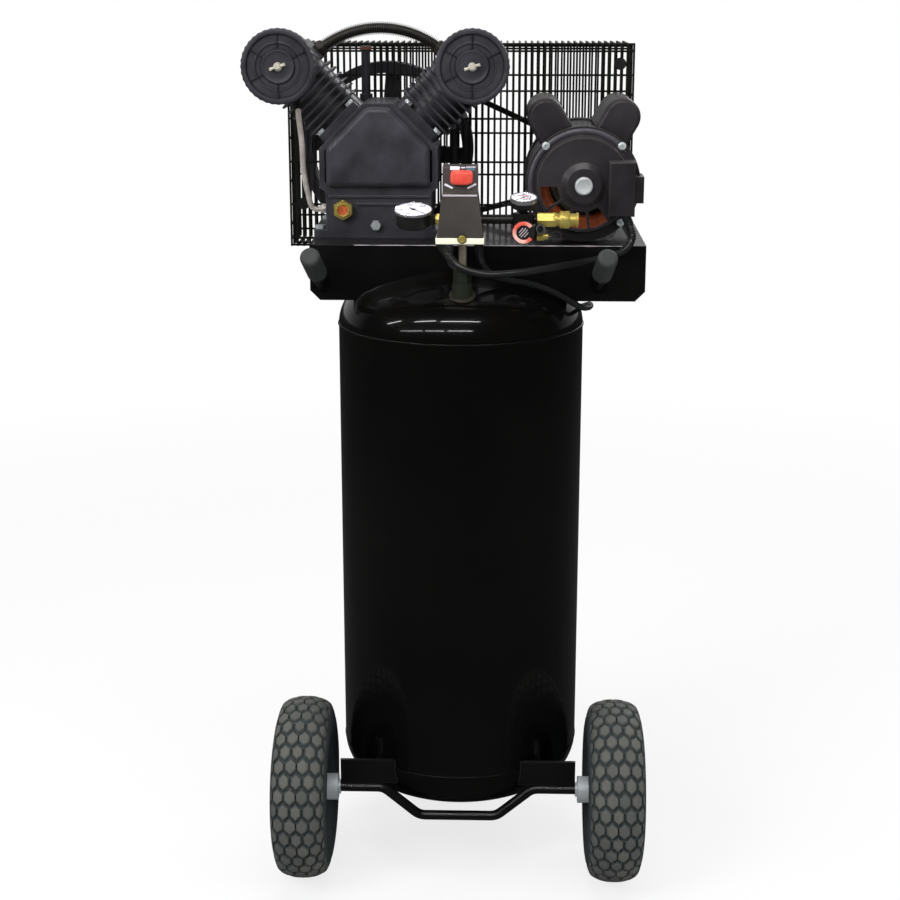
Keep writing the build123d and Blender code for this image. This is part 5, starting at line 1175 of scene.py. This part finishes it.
def makeNeedle(name, gauge):
    r, zero, node = gauge["radius"], gauge["zero"], name + "_gauge_needle"
    ends = ((0.3, 188), (0.3, 172), (0.80, -1.0), (0.80, 1.0))
    outline = np.array([onDial(gauge, share * r, zero + turn, 0.25) for share, turn in ends])
    arm = capped((np.stack([outline, outline + gaugeOut * 0.35 * mm]), False, True))
    hub = [(0, -0.72), (r * 0.11, -0.72), (r * 0.11, -0.3), (r * 0.08, -0.05), (0, -0.05)]
    hub = turned(hub, spot(*gauge["face"]), gaugeOut, 32)
    piece(name + "Needle", [arm, hub], "blackMark", 40, body=bodyOf[node], replaces=(node,))


def dialBand(inner, outer, first, last):
    # a printed band on the outlet's dial, between two radii and two angles
    turn = np.linspace(first, last, 40)
    edges = ((inner, 0), (inner, 0.15), (outer, 0.15), (outer, 0))
    rows = [onDial(gauges["outlet"], radius, turn, lift) for radius, lift in edges]
    return capped((np.transpose(np.array(rows), (1, 0, 2)), False, True))


for name, gauge in gauges.items():
    makeCase(name, gauge)
    makeTicks(name, gauge)
    makeNumbers(name, gauge)
    makeNeedle(name, gauge)
redBand, blueBand = [dialBand(*band) for band in gauges["outlet"]["bands"]]
piece("outletRedBand", [redBand], "dialRing", 40, mask=np.zeros(redBand[0].size // 3))
piece("outletBlueBand", [blueBand], "blueMark", 40)
print("gauges finished")


# regulator's knob with a coloured ring and bright bars, the coupler's sleeve and nuts, the relief valve's cap

regulator = {
    "x": 88.0, "z": 957.6, "back": -148.3, "front": -162.3, "radius": 15.4, "teeth": 24, "around": 144,
    "ringFrom": 38, "ringTo": 322, "barTurn": 0.85,
    "bars": ((-4.6, 8.0), (-1.5, 13.5), (1.6, 13.5), (4.7, 8.0)),
}


def makeRegulator():
    centre = spot(regulator["x"], regulator["back"], regulator["z"])
    r, deep = regulator["radius"], regulator["back"] - regulator["front"]
    profile = [
        (0, 0), (r - 1.2, 0), (r, 1.2), (r, deep - 2.2), (r - 0.1, deep - 0.9), (r - 0.5, deep - 0.3),
        (9.6, deep - 0.3), (8.6, deep - 1.5), (0, deep - 1.5),
    ]
    grid = turned(profile, centre, forward, regulator["around"])[0]
    turn = np.linspace(0, 2 * math.pi, regulator["around"], endpoint=False)
    teeth = 0.03 * np.clip(1.6 * np.cos(regulator["teeth"] * turn), -1, 1) - 0.03
    grooved = np.array([0, 1, 1, 1, 1, 0, 0, 0, 0])[:, None, None]
    grid = grid + (grid - centre) * [1, 0, 1] * teeth[None, :, None] * grooved
    body = bodyOf["regulator_knob"]
    piece(
        "regulatorKnob", [(grid, False, True)], "blackPlastic", body=body,
        replaces=("regulator_knob",),
    )
    makeDialRing(centre, deep, body)
    turn = regulator["barTurn"]
    way, over = np.array([math.cos(turn), 0, math.sin(turn)]), np.array([math.sin(turn), 0, -math.cos(turn)])
    strokes = []
    for shift, length in regulator["bars"]:
        reach = np.linspace(-0.5, 0.5, 5)[:, None] * length
        path = centre + (over * shift + way * reach + forward * (deep - 1.1)) * mm
        strokes.append(capped(along(path, ring(0.62, 8), up=forward)))
    piece("regulatorBars", strokes, "satinGrey", 60, body=body)


def makeDialRing(centre, deep, body):
    # the ring is open on the right; red fades to pink along it
    degrees = np.linspace(regulator["ringFrom"], regulator["ringTo"], 96)
    turn = np.radians(degrees)
    section = np.array([[9.7, deep - 0.6], [10.1, deep], [14.4, deep], [15.0, deep - 0.6]])
    radial = np.stack([np.cos(turn), np.zeros(96), np.sin(turn)], 1)
    band = centre + (section[None, :, :1] * radial[:, None] + section[None, :, 1:] * forward) * mm
    tone = np.clip(np.abs(degrees - 118) / 60 - 0.5, 0, 1) * np.clip((300 - degrees) / 30, 0, 1)
    mask = np.repeat(np.concatenate([tone[:1], tone, tone[-1:]])[:, None], 4, 1) * 0.8
    piece("regulatorRing", [capped((band, False, True))], "dialRing", 60, body=body, mask=mask)


def makeSleeve():
    # a knurled ring on the coupler, waved along and round, hollow enough to pass over the nuts
    start, end = low("coupler_sleeve"), high("coupler_sleeve")
    length = (end[0] - start[0]) / mm
    centre = np.array([start[0], *(middle("coupler_sleeve")[1:])])
    profile = [
        (10.15, 0.3), (10.6, 0), (11.4, 0.8), (11.9, 1.6), (11.9, 4.2), (11.2, 5.0), (11.2, 6.2), (11.9, 7.0),
        (11.9, length - 1.6), (11.2, length - 0.4), (10.4, length), (10.15, length - 0.3),
    ]
    grid = turned(profile, centre, (1, 0, 0), 120)[0]
    turn = np.linspace(0, 2 * math.pi, 120, endpoint=False)
    wave = 0.012 * (1 + np.cos(30 * turn))
    onRim = (np.array(profile)[:, 0] > 11.5)[:, None, None]
    grid = grid - (grid - centre) * [0, 1, 1] * wave[None, :, None] * onRim
    piece(
        "couplerSleeve", [(grid, True, True)], "brass", 30, body=bodyOf["coupler_sleeve"],
        replaces=("coupler_sleeve",),
    )


brassShapes = {
    "collar": [(0, 0), (9.6, 0), (10.0, 0.6), (10.0, 2.4), (9.4, 3.2), (6.0, 3.2), (5.2, 1.4), (0, 1.4)],
    "nut": [(0, 0), (9.4, 0), (9.9, 0.8), (9.9, 3.6), (9.4, 4.2), (0, 4.2)],
}
relief = {
    "place": (107.5, -138, 959), "axis": (0.5, -0.86, 0.1),
    "cap": [(0, 0), (6.6, 0), (7.4, 0.8), (7.4, 5.4), (6.6, 6.4), (3.4, 6.6), (2.8, 5.6), (0, 5.6)],
    "rim": [(5.0, 6.3), (5.2, 6.9), (6.2, 6.9), (6.5, 6.3)],
}
makeRegulator()
makeSleeve()
piece("brassNuts", [
    hexNut(spot(-30.5, -130, 971), (1, 0, 0), 7.3, 7.5),
    turned(brassShapes["collar"], spot(159.6, -130, 971), (1, 0, 0), 40),
    turned(brassShapes["nut"], spot(128.4, -130, 971), (1, 0, 0), 40),
], "brass", 30)
reliefCap = turned(relief["cap"], spot(*relief["place"]), relief["axis"], 40)
reliefRim = turnedRing(relief["rim"], spot(*relief["place"]), relief["axis"], 40)
piece("reliefCap", [reliefCap], "blackPlastic")
piece("reliefRim", [reliefRim], "chrome")
print("regulator and coupler finished")


# motor: shaft cap, a painted highlight as a pale arc on the bell's rim, bolt heads; soft edges on its box and
# covers

motor = {
    "x": 173.0, "z": 1007.5, "front": -50.0, "bolts": 75.4, "head": 5.8, "boltsBack": -27.0,
    "rim": 74.0, "rimWidth": 4.2, "rimDepth": 3.4, "rimBack": -26.0, "rimFrom": 33, "rimTo": 212,
    "cap": [(0, -2.0), (12.6, -2.0), (12.6, 2.2), (12.2, 3.4), (11.2, 4.3), (9.8, 4.6), (9.2, 4.3), (0, 4.5)],
}


def makeMotorFront():
    cap = turned(motor["cap"], spot(motor["x"], motor["front"], motor["z"]), forward, 64)
    piece("shaftCap", [cap], "brightSteel")
    # painted highlight: a paler arc over the upper part of the bell's rim, tapered at its ends
    turn = np.radians(np.linspace(motor["rimFrom"], motor["rimTo"], 120))
    section = circle(16) * [motor["rimWidth"], motor["rimDepth"]] * mm
    way = np.stack([np.cos(turn), np.zeros(120), np.sin(turn)], 1)
    path = spot(motor["x"], motor["rimBack"], motor["z"]) + motor["rim"] * mm * way
    taper = np.clip(np.sin(np.linspace(0, math.pi, 120)) * 4, 0.15, 1)
    rim = capped(along(path, section[None] * taper[:, None, None], up=forward))
    piece("bellRimHighlight", [rim], "bellRimHighlight", 50)
    heads, h = [], motor["head"]
    profile = [(0, 0), (h, 0), (h, 3.4), (h - 0.5, 4.6), (h - 1.6, 5.4), (2.6, 5.7), (2.3, 4.8), (0, 4.8)]
    for degrees in (45, 135, 225, 315):
        x = motor["x"] + motor["bolts"] * math.cos(math.radians(degrees))
        z = motor["z"] + motor["bolts"] * math.sin(math.radians(degrees))
        heads.append(turned(profile, spot(x, motor["boltsBack"], z), forward, 28))
    piece("motorBolts", heads, "brightSteel", 30)


makeMotorFront()
softened("terminal_box", 2.2, 3, "motorPaint")
softened("capacitor_covers", 2.4, 3, "motorPaint")
softened("crankcase_cover", 8.0, 6, "castPaint", 20)
print("motor finished")


# strain reliefs: tapered, ribbed sleeves that follow the cords out of their glands

reliefs = {"length": 26.0, "root": 6.6, "rib": 3.2, "groove": 0.6}


def makeRelief(line, root, radius):
    # the sleeve's radius falls from the gland's to the cord's along the line, with shallow grooves
    distance = np.linspace(0, reliefs["length"], 40)
    path = np.stack([np.interp(distance, travelled(line) / mm, line[:, axis]) for axis in range(3)], 1)
    fall = (radius + 0.9 - reliefs["root"]) * (distance / reliefs["length"]) ** 0.7
    size = reliefs["root"] + np.concatenate([[0], fall])
    grooved = (distance > 4) & (distance % reliefs["rib"] < 1.0)
    size = size - np.concatenate([[0], np.where(grooved, reliefs["groove"], 0.0)])
    path = np.concatenate([[root], path])
    return capped(along(path, circle(24)[None] * (size * mm)[:, None, None], up=(0, 1, 0.1)))


leadLine, supplyLine = linePoints(motorLead), linePoints(supplyCord)
sleeves = [
    makeRelief(leadLine, spot(-26, -138, 941), leadRoute["radius"]),
    makeRelief(leadLine[::-1], spot(232, -57, 966.5), leadRoute["radius"]),
    makeRelief(supplyLine, spot(27, -106, 941), supplyRoute["radius"]),
]
piece("strainReliefs", sleeves, "cordJacket", 50, replaces=("cable_glands",))
print("strain reliefs fitted")


# small things: the breather's cap, a painted highlight along the tray's front edge and the tank valve's
# flange

small = {
    "trayTop": 925, "highlightSpan": (-150, 228),
    "flangePlace": (5, -130, 866.5), "flangeAxis": (0, -0.404, 0.915),
    "flange": [(13.0, -3), (18.4, -3), (18.6, 0.6), (17.6, 1.8), (15.2, 2.4), (13.0, 2.4)],
}


def makeBreatherCap():
    start, end = low("breather_tube"), high("breather_tube")
    half = (end[0] - start[0]) / 2 / mm
    seat = middle("breather_tube") * [1, 1, 0] + [0, 0, end[2] - 1.8 * mm]
    profile = [(0, 1.6), (half - 1, 1.6), (half - 0.4, 1.0), (half + 0.3, 0.2), (half + 0.3, -3), (0, -3)]
    piece("breatherCap", [turned(profile, seat, (0, 0, 1), 40)], "capRed")


def makeTrayHighlight():
    # a painted highlight: a pale line along the tray's front edge, of uneven thickness
    front, top = low("platform_tray")[1], spot(0, 0, small["trayTop"])[2] - 0.4 * mm
    path = np.array([[spot(x, 0, 0)[0], front, top] for x in np.linspace(*small["highlightSpan"], 40)])
    wave = np.arange(40)
    thick = 0.55 + 0.35 * np.sin(wave * 1.7) * np.sin(wave * 0.6)
    edge = capped(along(path, circle(8)[None] * (thick * mm)[:, None, None]))
    piece("trayEdgeHighlight", [edge], "satinGrey", 60)


makeBreatherCap()
makeTrayHighlight()
flange = turnedRing(small["flange"], spot(*small["flangePlace"]), small["flangeAxis"], 48)
piece("valveFlange", [flange], "darkIron")
